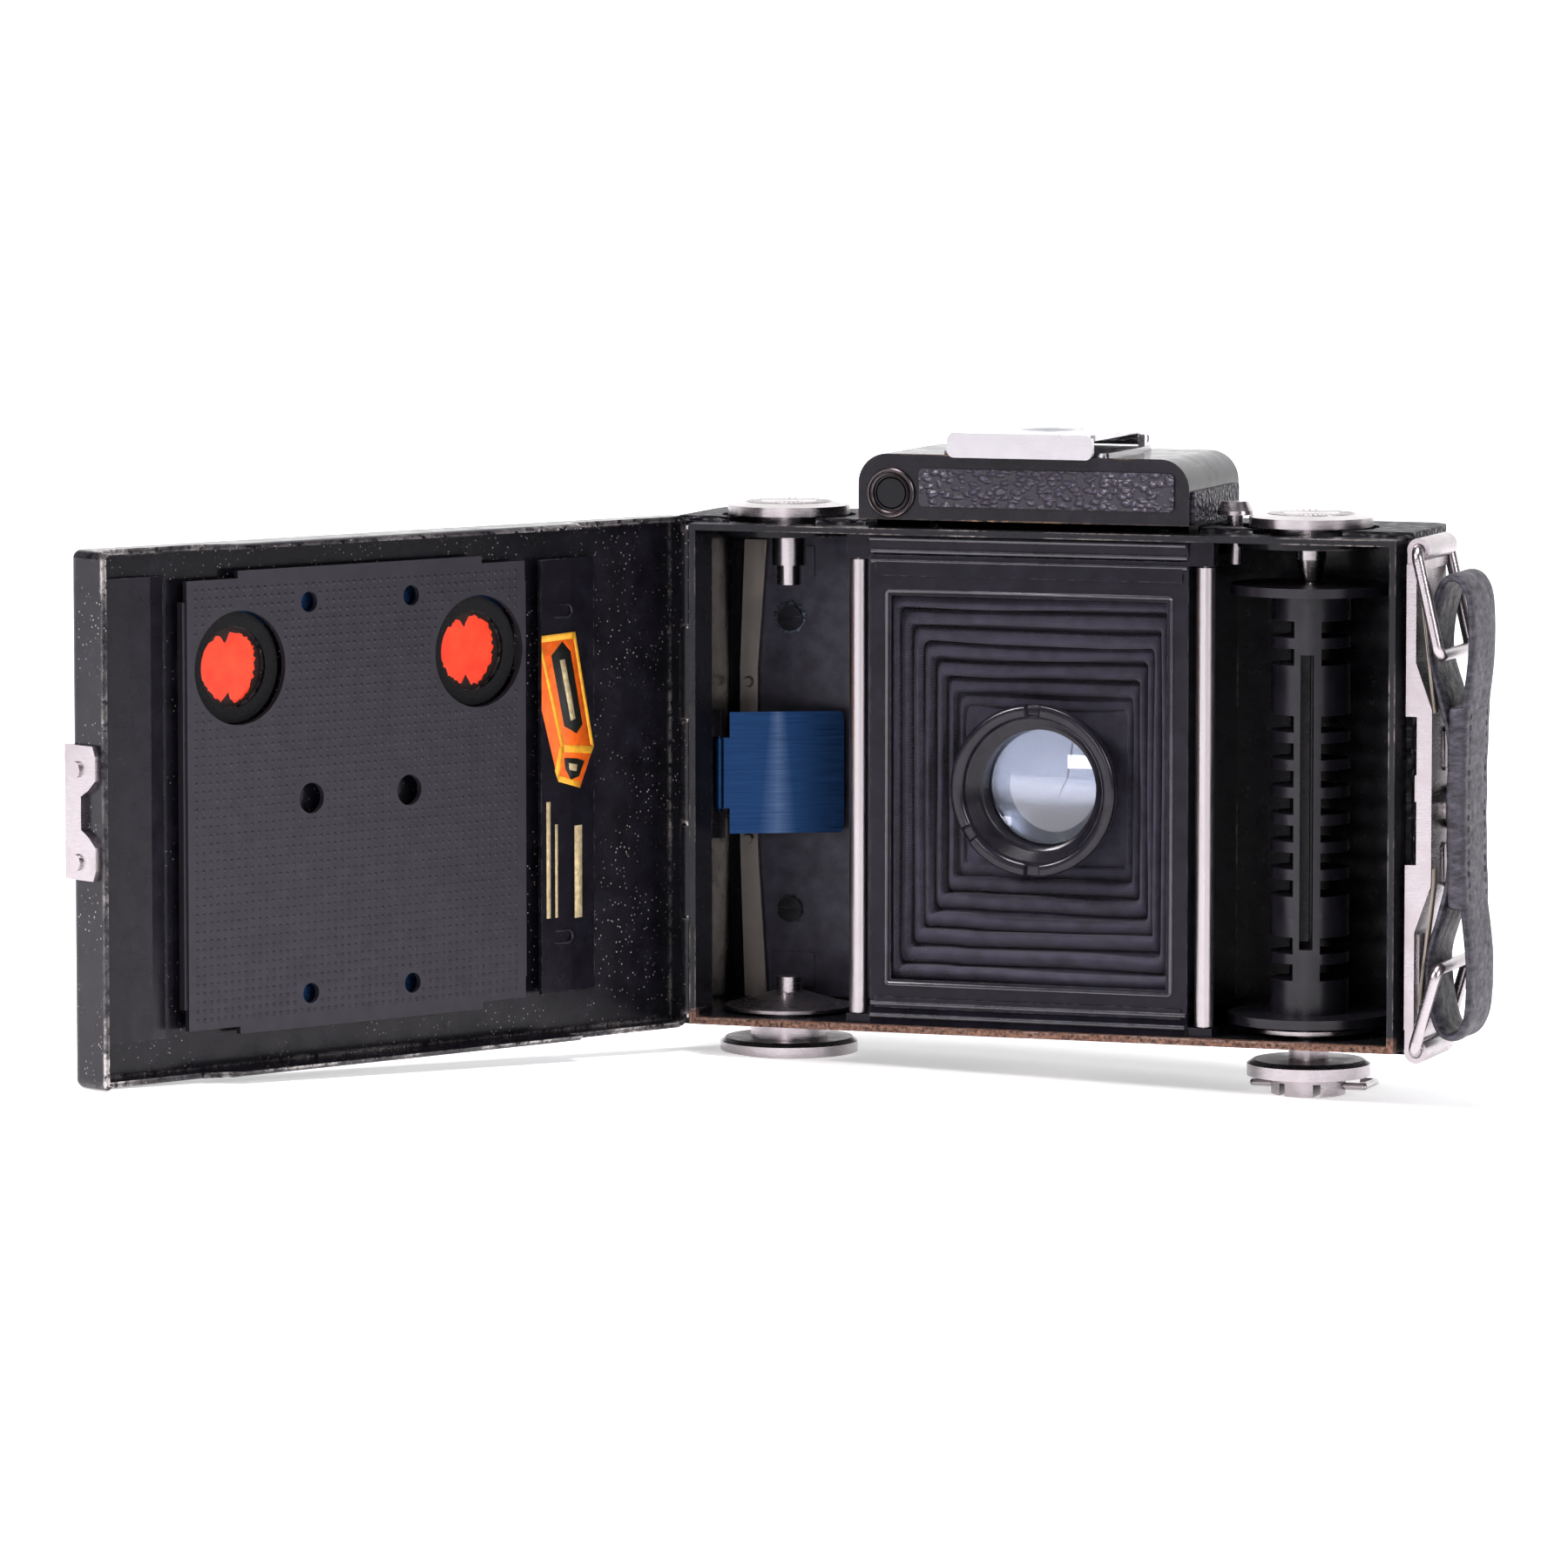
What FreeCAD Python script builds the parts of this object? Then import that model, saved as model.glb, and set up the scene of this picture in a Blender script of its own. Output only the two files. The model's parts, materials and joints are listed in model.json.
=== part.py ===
"""Folding roll-film camera for 4.5 x 6 cm negatives, folded, with its back door open.

Millimetres. X runs along the body, Y towards the front (lens) side, Z up.
The origin is the mouth of the tripod socket in the bottom plate.
"""
import FreeCAD
import Part
import math
import os
import re
import Sketcher

Vector = FreeCAD.Vector

SIZES = {
    # body shell
    "body_left": -56.4, "body_right": 57.4, "body_rear": -14, "body_front": 14.2,
    "body_top": 76.1, "wall": 1.0, "end_radius": 4, "leather": 0.8,
    "lip_left": -53.3, "lip_end": -7.6,
    # spools and film path
    "supply_x": -42.2, "takeup_x": 40.4, "spool_core": 5.9, "spool_flange": 12.1,
    "spool_low": 2.7, "spool_high": 68.4, "flange_thick": 1.4,
    "roller_left_x": -27.2, "roller_right_x": 27.3, "roller_y": -10.9, "roller_radius": 1.4,
    "roller_low": 2.6, "roller_high": 71.2, "roller_pin": 0.5,
    # film gate and bellows chamber
    "gate_half": 21.67, "gate_low": 7.9, "gate_high": 65.9, "gate_rear": -12.05, "gate_thick": 1.2,
    "box_half": 25, "box_low": 4, "box_high": 72, "box_front": 13.2,
    # tripod socket, 3/8 inch thread bored to its core diameter
    "socket_radius": 4, "socket_depth": 5, "bush_radius": 7, "bush_height": 5.6,
    # knobs
    "knob_radius": 9.3, "knob_neck": 6.2, "recess_radius": 10.2, "knob_low": 77.0, "knob_high": 78.9,
    # lens unit
    "lens_z": 36.9, "board_y": -0.6, "board_half": 20.5, "case_radius": 20.5,
    # lens bed
    "bed_half": 29.2, "bed_low": 0.7, "bed_high": 73.4, "bed_inside": 18.8, "bed_thick": 0.9,
    "bed_hinge_y": 16.4, "bed_hinge_z": 1.6, "bed_pin": 0.8, "bed_knuckle": 1.45,
    # back door, given as it lies when shut; then it is swung open
    "door_pivot_x": -54.64, "door_pivot_y": -10.77, "door_open": 119.2, "door_rim": -8,
    "door_rear": -15.9, "door_skin": 0.8, "door_low": -0.9, "door_high": 77, "door_right": 58.3,
    "door_left": -55.5, "door_knuckle": 1.15, "door_pin": 0.55,
    "plate_left": -24.1, "plate_right": 39.5, "plate_low": 5.9, "plate_high": 71.6,
    "plate_face": -12.65, "plate_thick": 0.9,
    # rangefinder housing
    "house_left": -26.9, "house_right": 25, "house_rear": -12, "house_front": 13.5,
    "house_top": 87.2, "house_round": 4.5, "eyepiece_x": -21.7, "eyepiece_z": 81.3,
    # side plate and strap
    "side_inner": 58.5, "side_outer": 60, "side_crown": 62.5, "side_rear": -12, "side_front": 3.7,
    "side_low": 3.5, "side_high": 72.5, "ring_wire": 0.9, "ring_top_z": 74.6, "ring_low_z": 0.2,
    "ring_x": 60.2, "strap_rear": -10.9, "strap_front": 2.6,
}

doc = FreeCAD.newDocument("FoldingCamera")
sheet = doc.addObject("Spreadsheet::Sheet", "Sizes")
for row, (alias, number) in enumerate(SIZES.items(), start=1):
    sheet.set(f"A{row}", alias)
    sheet.set(f"B{row}", str(number))
    sheet.setAlias(f"B{row}", alias)
doc.recompute()

parts = []


def formula(text):
    """An expression in which each driving dimension is looked up in the sheet."""
    return re.sub(r"[a-z][a-z_]*", lambda m: "Sizes." + m[0] if m[0] in SIZES else m[0], str(text))


def number(text):
    """The present value of an expression."""
    result = sheet.evalExpression(formula(text))
    return float(getattr(result, "Value", result))


def bind(thing, **settings):
    for name, text in settings.items():
        thing.setExpression(name.replace("__", "."), formula(text))


def place(thing, x, y, z, rotation=FreeCAD.Rotation()):
    thing.Placement = FreeCAD.Placement(Vector(number(x), number(y), number(z)), rotation)
    bind(thing, Placement__Base__x=x, Placement__Base__y=y, Placement__Base__z=z)
    return thing


def box(x0, x1, y0, y1, z0, z1):
    """A block between two limits on each axis."""
    block = doc.addObject("Part::Box", "Block")
    bind(block, Length=f"({x1}) - ({x0})", Width=f"({y1}) - ({y0})", Height=f"({z1}) - ({z0})")
    return place(block, x0, y0, z0)


TURN = {"x": FreeCAD.Rotation(Vector(0, 1, 0), 90), "y": FreeCAD.Rotation(Vector(1, 0, 0), -90),
        "z": FreeCAD.Rotation()}


def rod(axis, at, start, end, radius):
    """A round bar along an axis. at holds the two other coordinates, in X, Y, Z order."""
    bar = doc.addObject("Part::Cylinder", "Rod")
    bind(bar, Radius=radius, Height=f"({end}) - ({start})")
    base = {"x": (start, *at), "y": (at[0], start, at[1]), "z": (*at, start)}[axis]
    return place(bar, *base, TURN[axis])


def cone(axis, at, start, end, radius_start, radius_end):
    bar = doc.addObject("Part::Cone", "Taper")
    bind(bar, Radius1=radius_start, Radius2=radius_end, Height=f"({end}) - ({start})")
    base = {"x": (start, *at), "y": (at[0], start, at[1]), "z": (*at, start)}[axis]
    return place(bar, *base, TURN[axis])


def fuse(*shapes):
    if len(shapes) == 1:
        return shapes[0]
    joined = doc.addObject("Part::MultiFuse", "Union")
    joined.Shapes = list(shapes)
    joined.Refine = True
    return joined


def group(*shapes):
    """Separate solids kept in one node."""
    together = doc.addObject("Part::Compound", "Group")
    together.Links = list(shapes)
    return together


def cut(base, *tools):
    rest = doc.addObject("Part::Cut", "Difference")
    rest.Base = base
    rest.Tool = fuse(*tools)
    rest.Refine = True
    return rest


def share(first, second):
    """What two solids have in common."""
    both = doc.addObject("Part::Common", "Common")
    both.Base = first
    both.Tool = second
    return both


PLANES = {"z": "XY_Plane", "y": "XZ_Plane", "x": "YZ_Plane"}


def prism(axis, start, end, points):
    """A padded outline. Its points are the two other coordinates, in X, Y, Z order."""
    body = doc.addObject("PartDesign::Body", "Body")
    sketch = body.newObject("Sketcher::SketchObject", "Outline")
    plane = next(p for p in body.Origin.OriginFeatures if p.Role == PLANES[axis])
    sketch.AttachmentSupport = [(plane, "")]
    sketch.MapMode = "FlatFace"
    corners = [Vector(number(a), number(b), 0) for a, b in points]
    count = len(corners)
    for i in range(count):
        sketch.addGeometry(Part.LineSegment(corners[i], corners[(i + 1) % count]))
    for i in range(count):
        sketch.addConstraint(Sketcher.Constraint("Coincident", i, 2, (i + 1) % count, 1))
    for i, pair in enumerate(points):
        for kind, text, line, value in (("DistanceX", pair[0], -2, corners[i].x),
                                        ("DistanceY", pair[1], -1, corners[i].y)):
            if abs(value) < 1e-9:
                sketch.addConstraint(Sketcher.Constraint("PointOnObject", i, 1, line))
                continue
            index = sketch.addConstraint(Sketcher.Constraint(kind, -1, 1, i, 1, value))
            sketch.setExpression(f"Constraints[{index}]", formula(text))
    pad = body.newObject("PartDesign::Pad", "Pad")
    pad.Profile = sketch
    bind(pad, Length=f"({end}) - ({start})")
    if axis == "y":
        pad.Reversed = True
    sketch.Visibility = False
    offsets = {"z": (0, 0, start), "y": (0, start, 0), "x": (start, 0, 0)}
    place(body, *offsets[axis])
    doc.recompute()
    return body


def soften(body, radius, wanted):
    """Round the edges of a padded body for which wanted(edge) is true."""
    base = body.Tip
    edges = [f"Edge{i + 1}" for i, edge in enumerate(base.Shape.Edges) if wanted(edge)]
    rounding = body.newObject("PartDesign::Fillet", "Fillet")
    rounding.Base = (base, edges)
    bind(rounding, Radius=radius)
    body.Tip = rounding
    doc.recompute()
    return body


def along(axis, *corners):
    """A test for straight edges along an axis that pass through one of the corners."""
    direction = {"x": Vector(1, 0, 0), "y": Vector(0, 1, 0), "z": Vector(0, 0, 1)}[axis]
    spots = [(number(a), number(b)) for a, b in corners]

    def test(edge):
        if len(edge.Vertexes) != 2:
            return False
        run = edge.Vertexes[1].Point - edge.Vertexes[0].Point
        if run.Length < 1e-6 or abs(abs(run.normalize().dot(direction)) - 1) > 1e-6:
            return False
        p = edge.Vertexes[0].Point
        here = {"x": (p.y, p.z), "y": (p.x, p.z), "z": (p.x, p.y)}[axis]
        return not spots or any(math.dist(here, spot) < 0.01 for spot in spots)
    return test


def rounded(axis, x0, x1, y0, y1, z0, z1, radius):
    """A block whose four edges along one axis are rounded."""
    limits = {"x": ((y0, y1), (z0, z1), (x0, x1)), "y": ((x0, x1), (z0, z1), (y0, y1)),
              "z": ((x0, x1), (y0, y1), (z0, z1))}[axis]
    (a0, a1), (b0, b1), (start, end) = limits
    body = prism(axis, start, end, [(a0, b0), (a1, b0), (a1, b1), (a0, b1)])
    return soften(body, radius, along(axis))


def tube_path(points, radius, bend):
    """A closed round wire through the points, with arcs of one bend radius at its corners."""
    count = len(points)
    edges = []
    ends = []
    for i, corner in enumerate(points):
        back = (points[i - 1] - corner).normalize()
        ahead = (points[(i + 1) % count] - corner).normalize()
        half = math.acos(max(-1, min(1, back.dot(ahead)))) / 2
        reach = bend / math.tan(half)
        middle = corner + (back + ahead).normalize() * (bend / math.sin(half) - bend)
        ends.append((corner + back * reach, middle, corner + ahead * reach))
    for i, (first, middle, last) in enumerate(ends):
        edges.append(Part.Arc(first, middle, last).toShape())
        edges.append(Part.LineSegment(last, ends[(i + 1) % count][0]).toShape())
    wire = Part.Wire(edges)
    section = Part.Wire([Part.Circle(ends[0][0], points[0] - points[-1], radius).toShape()])
    return wire.makePipeShell([section], True, True)


def from_shape(shape):
    thing = doc.addObject("Part::Feature", "Formed")
    thing.Shape = shape
    return thing


def add(label, thing):
    """Give a finished sub-part its name."""
    thing.Label = label
    parts.append(thing)
    return thing


DOOR_SWING = FreeCAD.Rotation(Vector(0, 0, 1), -number("door_open"))
DOOR_PIVOT = Vector(number("door_pivot_x"), number("door_pivot_y"), 0)


def add_on_door(label, thing):
    """A sub-part of the back door, drawn as if shut, swung to the open position."""
    swing = FreeCAD.Placement(Vector(), DOOR_SWING, DOOR_PIVOT)
    if thing.TypeId == "Part::Feature":
        thing.Placement = swing
        return add(label, thing)
    held = group(thing)
    held.Placement = swing
    return add(label, held)


# ---------------------------------------------------------------- body

def body_block(grow, rear, low, high):
    """The body's plan, grown outwards by a thickness. Its left end steps in at the lip."""
    left, right, front = f"body_left - ({grow})", f"body_right + ({grow})", f"body_front + ({grow})"
    outline = [(left, rear), (right, rear), (right, front), (left, front)]
    if number(rear) < number("lip_end"):
        step = (f"lip_left - ({grow})", f"lip_end - ({grow})")
        outline = [(step[0], rear), *outline[1:], (left, step[1]), step]
    block = prism("z", low, high, outline)
    return soften(block, f"end_radius + ({grow})", along("z", (right, front), (left, front)))


DOOR_KNUCKLES = [(1.2, 15.9), (30.3, 45.9), (60.3, 75)]
BODY_KNUCKLES = [(16.2, 30), (46.2, 60)]
PIVOT = ("door_pivot_x", "door_pivot_y")
RELEASE = (28.4, 0.5)


def make_body_shell():
    outer = body_block("0", "body_rear", 0, "body_top")
    inner = body_block("-wall", "body_rear - 1", "wall", "body_top - wall")
    hollow = cut(outer, inner,
                 box("1 - box_half", "box_half - 1", 12, 16, "box_low + 1", "box_high - 1"),
                 rod("z", ("supply_x", 0), "body_top - wall", 80, "recess_radius"),
                 rod("z", ("takeup_x", 0), "body_top - wall", 80, "recess_radius"))
    dishes = [rod("z", (x, 0), "body_top - 2.1", "body_top - wall", "recess_radius + 0.8")
              for x in ("supply_x", "takeup_x")]
    hinge = [rod("z", PIVOT, low, high, "door_knuckle") for low, high in BODY_KNUCKLES]
    webs = [box("door_pivot_x", "lip_left + 0.5", "door_pivot_y - 1.1", "door_pivot_y + 1.1", low, high)
            for low, high in BODY_KNUCKLES]
    bed_tubes = [rod("x", ("bed_hinge_y", "bed_hinge_z"), x0, x1, "bed_knuckle")
                 for x0, x1 in ((-22, -10.2), (10.2, 22))]
    bed_webs = [box(x0, x1, "body_front - 0.5", "bed_hinge_y", "bed_hinge_z - 0.9", "bed_hinge_z + 0.9")
                for x0, x1 in ((-22, -10.2), (10.2, 22))]
    solid = fuse(hollow, *dishes, *hinge, *webs, *bed_tubes, *bed_webs)
    shell = cut(
        solid,
        rod("z", PIVOT, -2, 80, "door_pin + 0.04"),
        rod("x", ("bed_hinge_y", "bed_hinge_z"), -30, 30, "bed_pin + 0.04"),
        rod("z", (0, 0), -1, 2, "bush_radius"),
        rod("z", ("supply_x", 0), 70, 77, 2.7),
        rod("z", ("takeup_x", 0), 70, 77, 2.4),
        rod("z", ("supply_x", 0), -1, 2, 6),
        rod("z", ("takeup_x", 0), -1, 2, 3.1),
        rod("z", RELEASE, 74, 78, 1.3))
    left, right, low, high = -53.1, 56.3, 2.2, 73.9
    walls = [(-60, left, -5, 80), (right, 62, -5, 80), (left, right, high, 80), (left, right, -5, low),
             (left, -25, low, high), (25, right, low, high), (-25, 25, low, high)]
    return add("body_shell", group(*[share(shell, box(x0, x1, -20, 20, z0, z1)) for x0, x1, z0, z1 in walls]))


def make_body_leather():
    outer = body_block("leather", "lip_end + 0.1", "-leather", "body_top + leather")
    metal = body_block("0", "body_rear", 0, "body_top")
    return add("body_leather", cut(
        outer, metal,
        box("-bed_half - 1.3", "bed_half + 1.3", "body_front - 0.1", 16, -2, "bed_high + 1.2"),
        box("house_left - 0.4", "house_right + 0.4", -9, "house_front + 0.4", 75, 78),
        rod("z", ("supply_x", 0), 75, 78, "recess_radius"),
        rod("z", ("takeup_x", 0), 75, 78, "recess_radius"),
        rod("z", RELEASE, 75, 78, 3.2),
        rod("z", ("supply_x", 0), -2, 1, 6.6),
        rod("z", ("takeup_x", 0), -2, 1, 6.6),
        rod("z", (0, 0), -2, 1, "bush_radius + 0.3")))


def make_film_gate():
    walls = cut(box("-box_half", "box_half", "gate_rear", "box_front", "box_low", "box_high"),
                box("1 - box_half", "box_half - 1", "gate_rear + gate_thick", 15, "box_low + 1",
                    "box_high - 1"),
                box("-gate_half", "gate_half", -14, -5, "gate_low", "gate_high"))
    ridges = [box(-24.1, 24.1, "gate_rear - 0.3", -11, z0, z1) for z0, z1 in ((3.6, 5.2), (68.9, 71))]
    top_slope = prism("x", -25, 25, [(-11.5, 71.2), (-10.8, 71.2), (-10.8, 75.1), (-12.9, 75.1)])
    low_slope = prism("x", -25, 25, [(-11.8, 4.6), (-10.8, 4.6), (-10.8, 1), (-12.6, 1)])
    lugs = []
    for x0, x1 in ((-28.8, -24.5), (24.5, 28.8)):
        for z0, z1 in ((1, "roller_low - 0.2"), ("roller_high + 0.2", 75.1)):
            lugs.append(box(x0, x1, "roller_y - 1", "roller_y + 1.6", z0, z1))
    bores = [rod("z", (x, "roller_y"), 0.5, 76, "roller_pin + 0.05")
             for x in ("roller_left_x", "roller_right_x")]
    return add("film_gate", cut(fuse(walls, *ridges, top_slope, low_slope, *lugs), *bores,
                                rod("z", (0, 0), 3, "box_low + 1.1", "bush_radius + 0.05")))


def make_tripod_bush():
    return add("tripod_bush", cut(rod("z", (0, 0), 0, "bush_height", "bush_radius"),
                                  rod("z", (0, 0), -1, "socket_depth", "socket_radius")))


def make_roller(label, x):
    return add(label, fuse(rod("z", (x, "roller_y"), "roller_low", "roller_high", "roller_radius"),
                           rod("z", (x, "roller_y"), "roller_low - 1.3", "roller_high + 1.3",
                               "roller_pin")))


def make_guide_strip():
    strip = prism("y", 11.7, 12.3, [(-53.6, 72), (-50, 72), (-51.5, 52), (-51.5, 25), (-50, 1.4),
                                    (-53.6, 1.4), (-54.35, 25), (-54.35, 52)])
    rivets = [cone("y", (-52.9, z), 11, 11.9, 0.6, 0.95) for z in (50.1, 25.8)]
    return add("guide_strip", fuse(strip, *rivets))


def make_chamber_screws():
    spots = [(-46.5, 15, 2), (-46.5, 60, 2), (50.6, 15.5, 1.7), (50.6, 60, 1.7), (31.5, 23.5, 0.8),
             (31.5, 50.5, 0.8)]
    screws = [cut(rod("y", (x, z), 12.2, 13.2, radius), box(x - 3, x + 3, 12, 12.5, z - 0.25, z + 0.25))
              for x, z, radius in spots]
    return add("chamber_screws", group(*screws))


LEAF_PIVOT = (-54.35, 2.2)
LEAF_ANGLE = 27.1


def make_spring_bracket():
    """The black plate on the end wall that carries the film leaf spring."""
    plate = rounded("x", -55.4, -54.9, -6.4, 1.2, 26.5, 47, 1)
    ears = [box(-55.2, -53.6, 1, 3, z0, z1) for z0, z1 in ((26.8, 31), (42.5, 46.7))]
    bumps = [rod("x", (-2.9, z), -55, -54.3, 1.5) for z in (30.4, 36.8, 43.2)]
    return add("spring_bracket", cut(fuse(plate, *ears, *bumps), rod("z", LEAF_PIVOT, 20, 50, 0.42)))


def make_film_spring():
    """The blued leaf that brakes the supply roll, leaning from its hinge to the front wall."""
    x, y = LEAF_PIVOT
    leaf = rounded("y", 0, 19.3, -0.18, 0.17, 27.4, 46.1, 0.9)
    leaf = cut(leaf, box(-1, 1.6, -1, 1, 27, 31.3), box(-1, 1.6, -1, 1, 42.2, 47))
    curl = rod("z", (0, 0), 31.4, 42.1, 0.72)
    pin = rod("z", (0, 0), 27, 46.5, 0.36)
    held = group(fuse(leaf, curl, pin))
    held.Placement = FreeCAD.Placement(Vector(x, y, 0), FreeCAD.Rotation(Vector(0, 0, 1), LEAF_ANGLE))
    return add("film_spring", held)


# ---------------------------------------------------------------- knobs and spools

def make_top_knob(label, x, shaft_parts):
    parts_of_knob = [rod("z", (x, 0), "knob_low", "knob_high - 0.5", "knob_radius"),
                     cone("z", (x, 0), "knob_high - 0.5", "knob_high", "knob_radius", "knob_radius - 2.6"),
                     rod("z", (x, 0), 75.4, "knob_low", "knob_neck")]
    for low, high, radius_low, radius_high in shaft_parts:
        if radius_low == radius_high:
            parts_of_knob.append(rod("z", (x, 0), low, high, radius_low))
        else:
            parts_of_knob.append(cone("z", (x, 0), low, high, radius_low, radius_high))
    return add(label, fuse(*parts_of_knob))


def make_lower_left_pivot():
    x = "supply_x"
    return add("lower_left_pivot", fuse(
        rod("z", (x, 0), -5.2, -3.6, 10.5), cone("z", (x, 0), -3.6, -3, 10.5, 9.7),
        rod("z", (x, 0), -3.1, 1.4, 5.9), rod("z", (x, 0), 1.4, 1.9, 9.9),
        cone("z", (x, 0), 1.9, 3.9, 9.4, 2.6), rod("z", (x, 0), 3.8, 6.2, 1.95)))


def make_winding_key():
    x = "takeup_x"
    disc = fuse(rod("z", (x, 0), -5.4, -3.6, 9.25), cone("z", (x, 0), -3.6, -3, 9.25, 8.3),
                rod("z", (x, 0), -3.2, 1.5, 3))
    barrel = rod("z", (x, 0), -8.2, -5.4, 5.6)
    slots = [box("takeup_x + (%s)" % x0, "takeup_x + (%s)" % x1, -8, 8, -9, -6.3)
             for x0, x1 in ((-3.2, -2.2), (2.2, 3.2))]
    wing_bore = rod("x", (0, -6.9), "takeup_x - 8", "takeup_x + 8", 0.62)
    return add("winding_key", cut(fuse(disc, barrel), *slots, wing_bore))


def make_key_wing():
    """Two folded wire loops on one cross wire through the key's barrel."""
    loops = [rod("x", (0, -6.9), "takeup_x - 8.6", "takeup_x + 8.6", 0.55)]
    for side in (-1, 1):
        tip = f"takeup_x + {side * 8.6}"
        loops.append(rod("y", (tip, -6.9), 0, 6.2, 0.55))
        loops.append(rod("x", (6.2, -6.9), f"takeup_x + {min(side * 8.6, side * 6.4)}",
                         f"takeup_x + {max(side * 8.6, side * 6.4)}", 0.55))
        for y in (0, 6.2):
            ball = doc.addObject("Part::Sphere", "Bend")
            bind(ball, Radius=0.55)
            loops.append(place(ball, tip, y, -6.9))
    return add("key_wing", fuse(*loops))


def make_drive_disc():
    x = "takeup_x"
    return add("drive_disc", cut(fuse(
        rod("z", (x, 0), 1.5, 2.1, 9.5),
        box("takeup_x - 0.8", "takeup_x + 0.8", -2.6, 2.6, 2, 5.4)),
        rod("z", (x, 0), 1, 1.6, 0.5)))


SPOOL_ANGLE = 19


def make_take_up_spool():
    at = ("takeup_x", 0)
    solid = fuse(rod("z", at, "spool_low", "spool_high", "spool_core"),
                 rod("z", at, "spool_low", "spool_low + flange_thick", "spool_flange"),
                 rod("z", at, "spool_high - flange_thick", "spool_high", "spool_flange"))
    tools = [rod("z", at, 11.3, 60.7, "spool_core - 1.3"),
             rod("z", at, "spool_high - 5", 70, 2.35),
             box("takeup_x - 0.9", "takeup_x + 0.9", -2.8, 2.8, 2, 6),
             rod("z", at, 2, 6, 2.2)]
    windows = [box(-1.8, 0.2, -7, 7, 14, 58.1)]
    rows = [9.3, 13.3] + [21.9 + 4.1 * i for i in range(7)] + [56.5, 60.6]
    for z in rows:
        windows.append(box(-6.5, -2.7, -7, 7, z, z + 2.5))
        windows.append(box(1.3, 6.5, -7, 7, z, z + 2.5))
    windows = fuse(*windows)
    place(windows, "takeup_x", 0, 0, FreeCAD.Rotation(Vector(0, 0, 1), SPOOL_ANGLE))
    core = cut(rod("z", at, 8, 64, 4.4), rod("z", at, 7, 65, 2.9), windows)
    return add("take_up_spool", fuse(cut(solid, windows, *tools), core))


# ---------------------------------------------------------------- back door

def make_door_shell():
    block = prism("z", "door_low", "door_high",
                  [("door_left", "door_rim"), ("door_left", "door_rear"), ("door_right", "door_rear"),
                   ("door_right", "door_rim")])
    soften(block, 1.6, along("z", ("door_left", "door_rear"), ("door_right", "door_rear")))
    soften(block, 1.2, along("x"))
    hollow = cut(block,
                 box("door_left + door_skin", "door_right - door_skin", "door_rear + door_skin", 0,
                     "door_low + door_skin", "door_high - door_skin"),
                 box(-60, "lip_left + 0.02", "door_pivot_y - 1.5", 0, -5, 80),
                 *[rod("z", (x, 0), z0, z0 + 4, 11) for x in ("supply_x", "takeup_x") for z0 in (-3, 75)],
                 *[box(x0, x1, -11.2, 0, z0, z0 + 4) for x0, x1 in ((-60, -31.4), (38.2, 57))
                   for z0 in (-3, 75)])
    tubes = [rod("z", PIVOT, low, high, "door_knuckle") for low, high in DOOR_KNUCKLES]
    webs = [box("door_left", "door_left + door_skin", -13, "door_pivot_y", low, high)
            for low, high in DOOR_KNUCKLES]
    windows = [rod("y", (x, 58.5), -17, -14, 5.9) for x in WINDOW_X]
    return add_on_door("back_door", cut(fuse(hollow, *tubes, *webs),
                                        rod("z", PIVOT, -2, 80, "door_pin + 0.05"), *windows))


WINDOW_X = (29.76, -15.23)


def make_door_pin():
    return add("door_hinge_pin", rod("z", PIVOT, 0.6, 75.6, "door_pin"))


def make_door_leather():
    skin = rounded("y", -53.4, 56.2, "door_rear - 0.7", "door_rear", 1.4, 74.7, 1.5)
    return add_on_door("back_door_leather", cut(skin, *[rod("y", (x, 58.5), -18, -14, 5.9)
                                                        for x in WINDOW_X]))


def make_red_windows():
    panes = [rod("y", (x, 58.5), "door_rear - 0.3", "door_rear + 0.3", 5.85) for x in WINDOW_X]
    return add_on_door("red_windows", group(*panes))


def make_guide_sheet():
    """A bent spring-steel sheet that leads the film from the supply spool."""
    return add_on_door("film_guide_sheet", prism(
        "z", 6, 71.5, [(-39.5, -14.9), (-34, -13.75), (-27.4, -12.9), (-27.3, -13.4), (-34, -14.3),
                       (-39.3, -15.1)]))


def make_free_end_sheet():
    """A curved sheet beside the free end, behind the take-up spool."""
    return add_on_door("end_guide_sheet", prism(
        "z", 5, 72.5, [(42.2, -14.8), (45, -14.1), (49, -13.9), (52.6, -14.3), (55.6, -14.9),
                       (55.6, -15.1), (42.2, -15.1)]))


def make_plate_springs():
    """Two bowed leaf springs that push the pressure plate forwards."""
    bows = [prism("z", z0, z1, [(-22, -15.1), (-22, -14.8), (-9, -14.75), (2, -14.45), (14, -14.45),
                                (25, -14.75), (36, -14.8), (36, -15.1)])
            for z0, z1 in ((6.8, 13), (64.4, 70.6))]
    return add_on_door("plate_springs", group(*bows))


def make_pressure_plate():
    low, high = "plate_low", "plate_high"
    sheet_metal = fuse(box("plate_left", "plate_right", "plate_face - plate_thick", "plate_face", low, high),
                       box(-15.8, 30.1, "plate_face - plate_thick", "plate_face", "plate_low - 1.1",
                           "plate_high + 1.1"))
    skirts = [box(x0, x1, "plate_face - 1.6", "plate_face - 0.4", 9, 68.5)
              for x0, x1 in ((-24.6, -23.9), (39.3, 40))]
    holes = [rod("y", (x, 58.5), -16, -11, 8.37) for x in WINDOW_X]
    holes += [rod("y", (x, 38.6), -16, -11, 2.27) for x in (16.6, -1.8)]
    holes += [rod("y", (x, z), -16, -11, 1.5) for x in (16.9, -2.3) for z in (9.8, 67.5)]
    return add_on_door("pressure_plate", cut(fuse(sheet_metal, *skirts), *holes))


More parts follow.
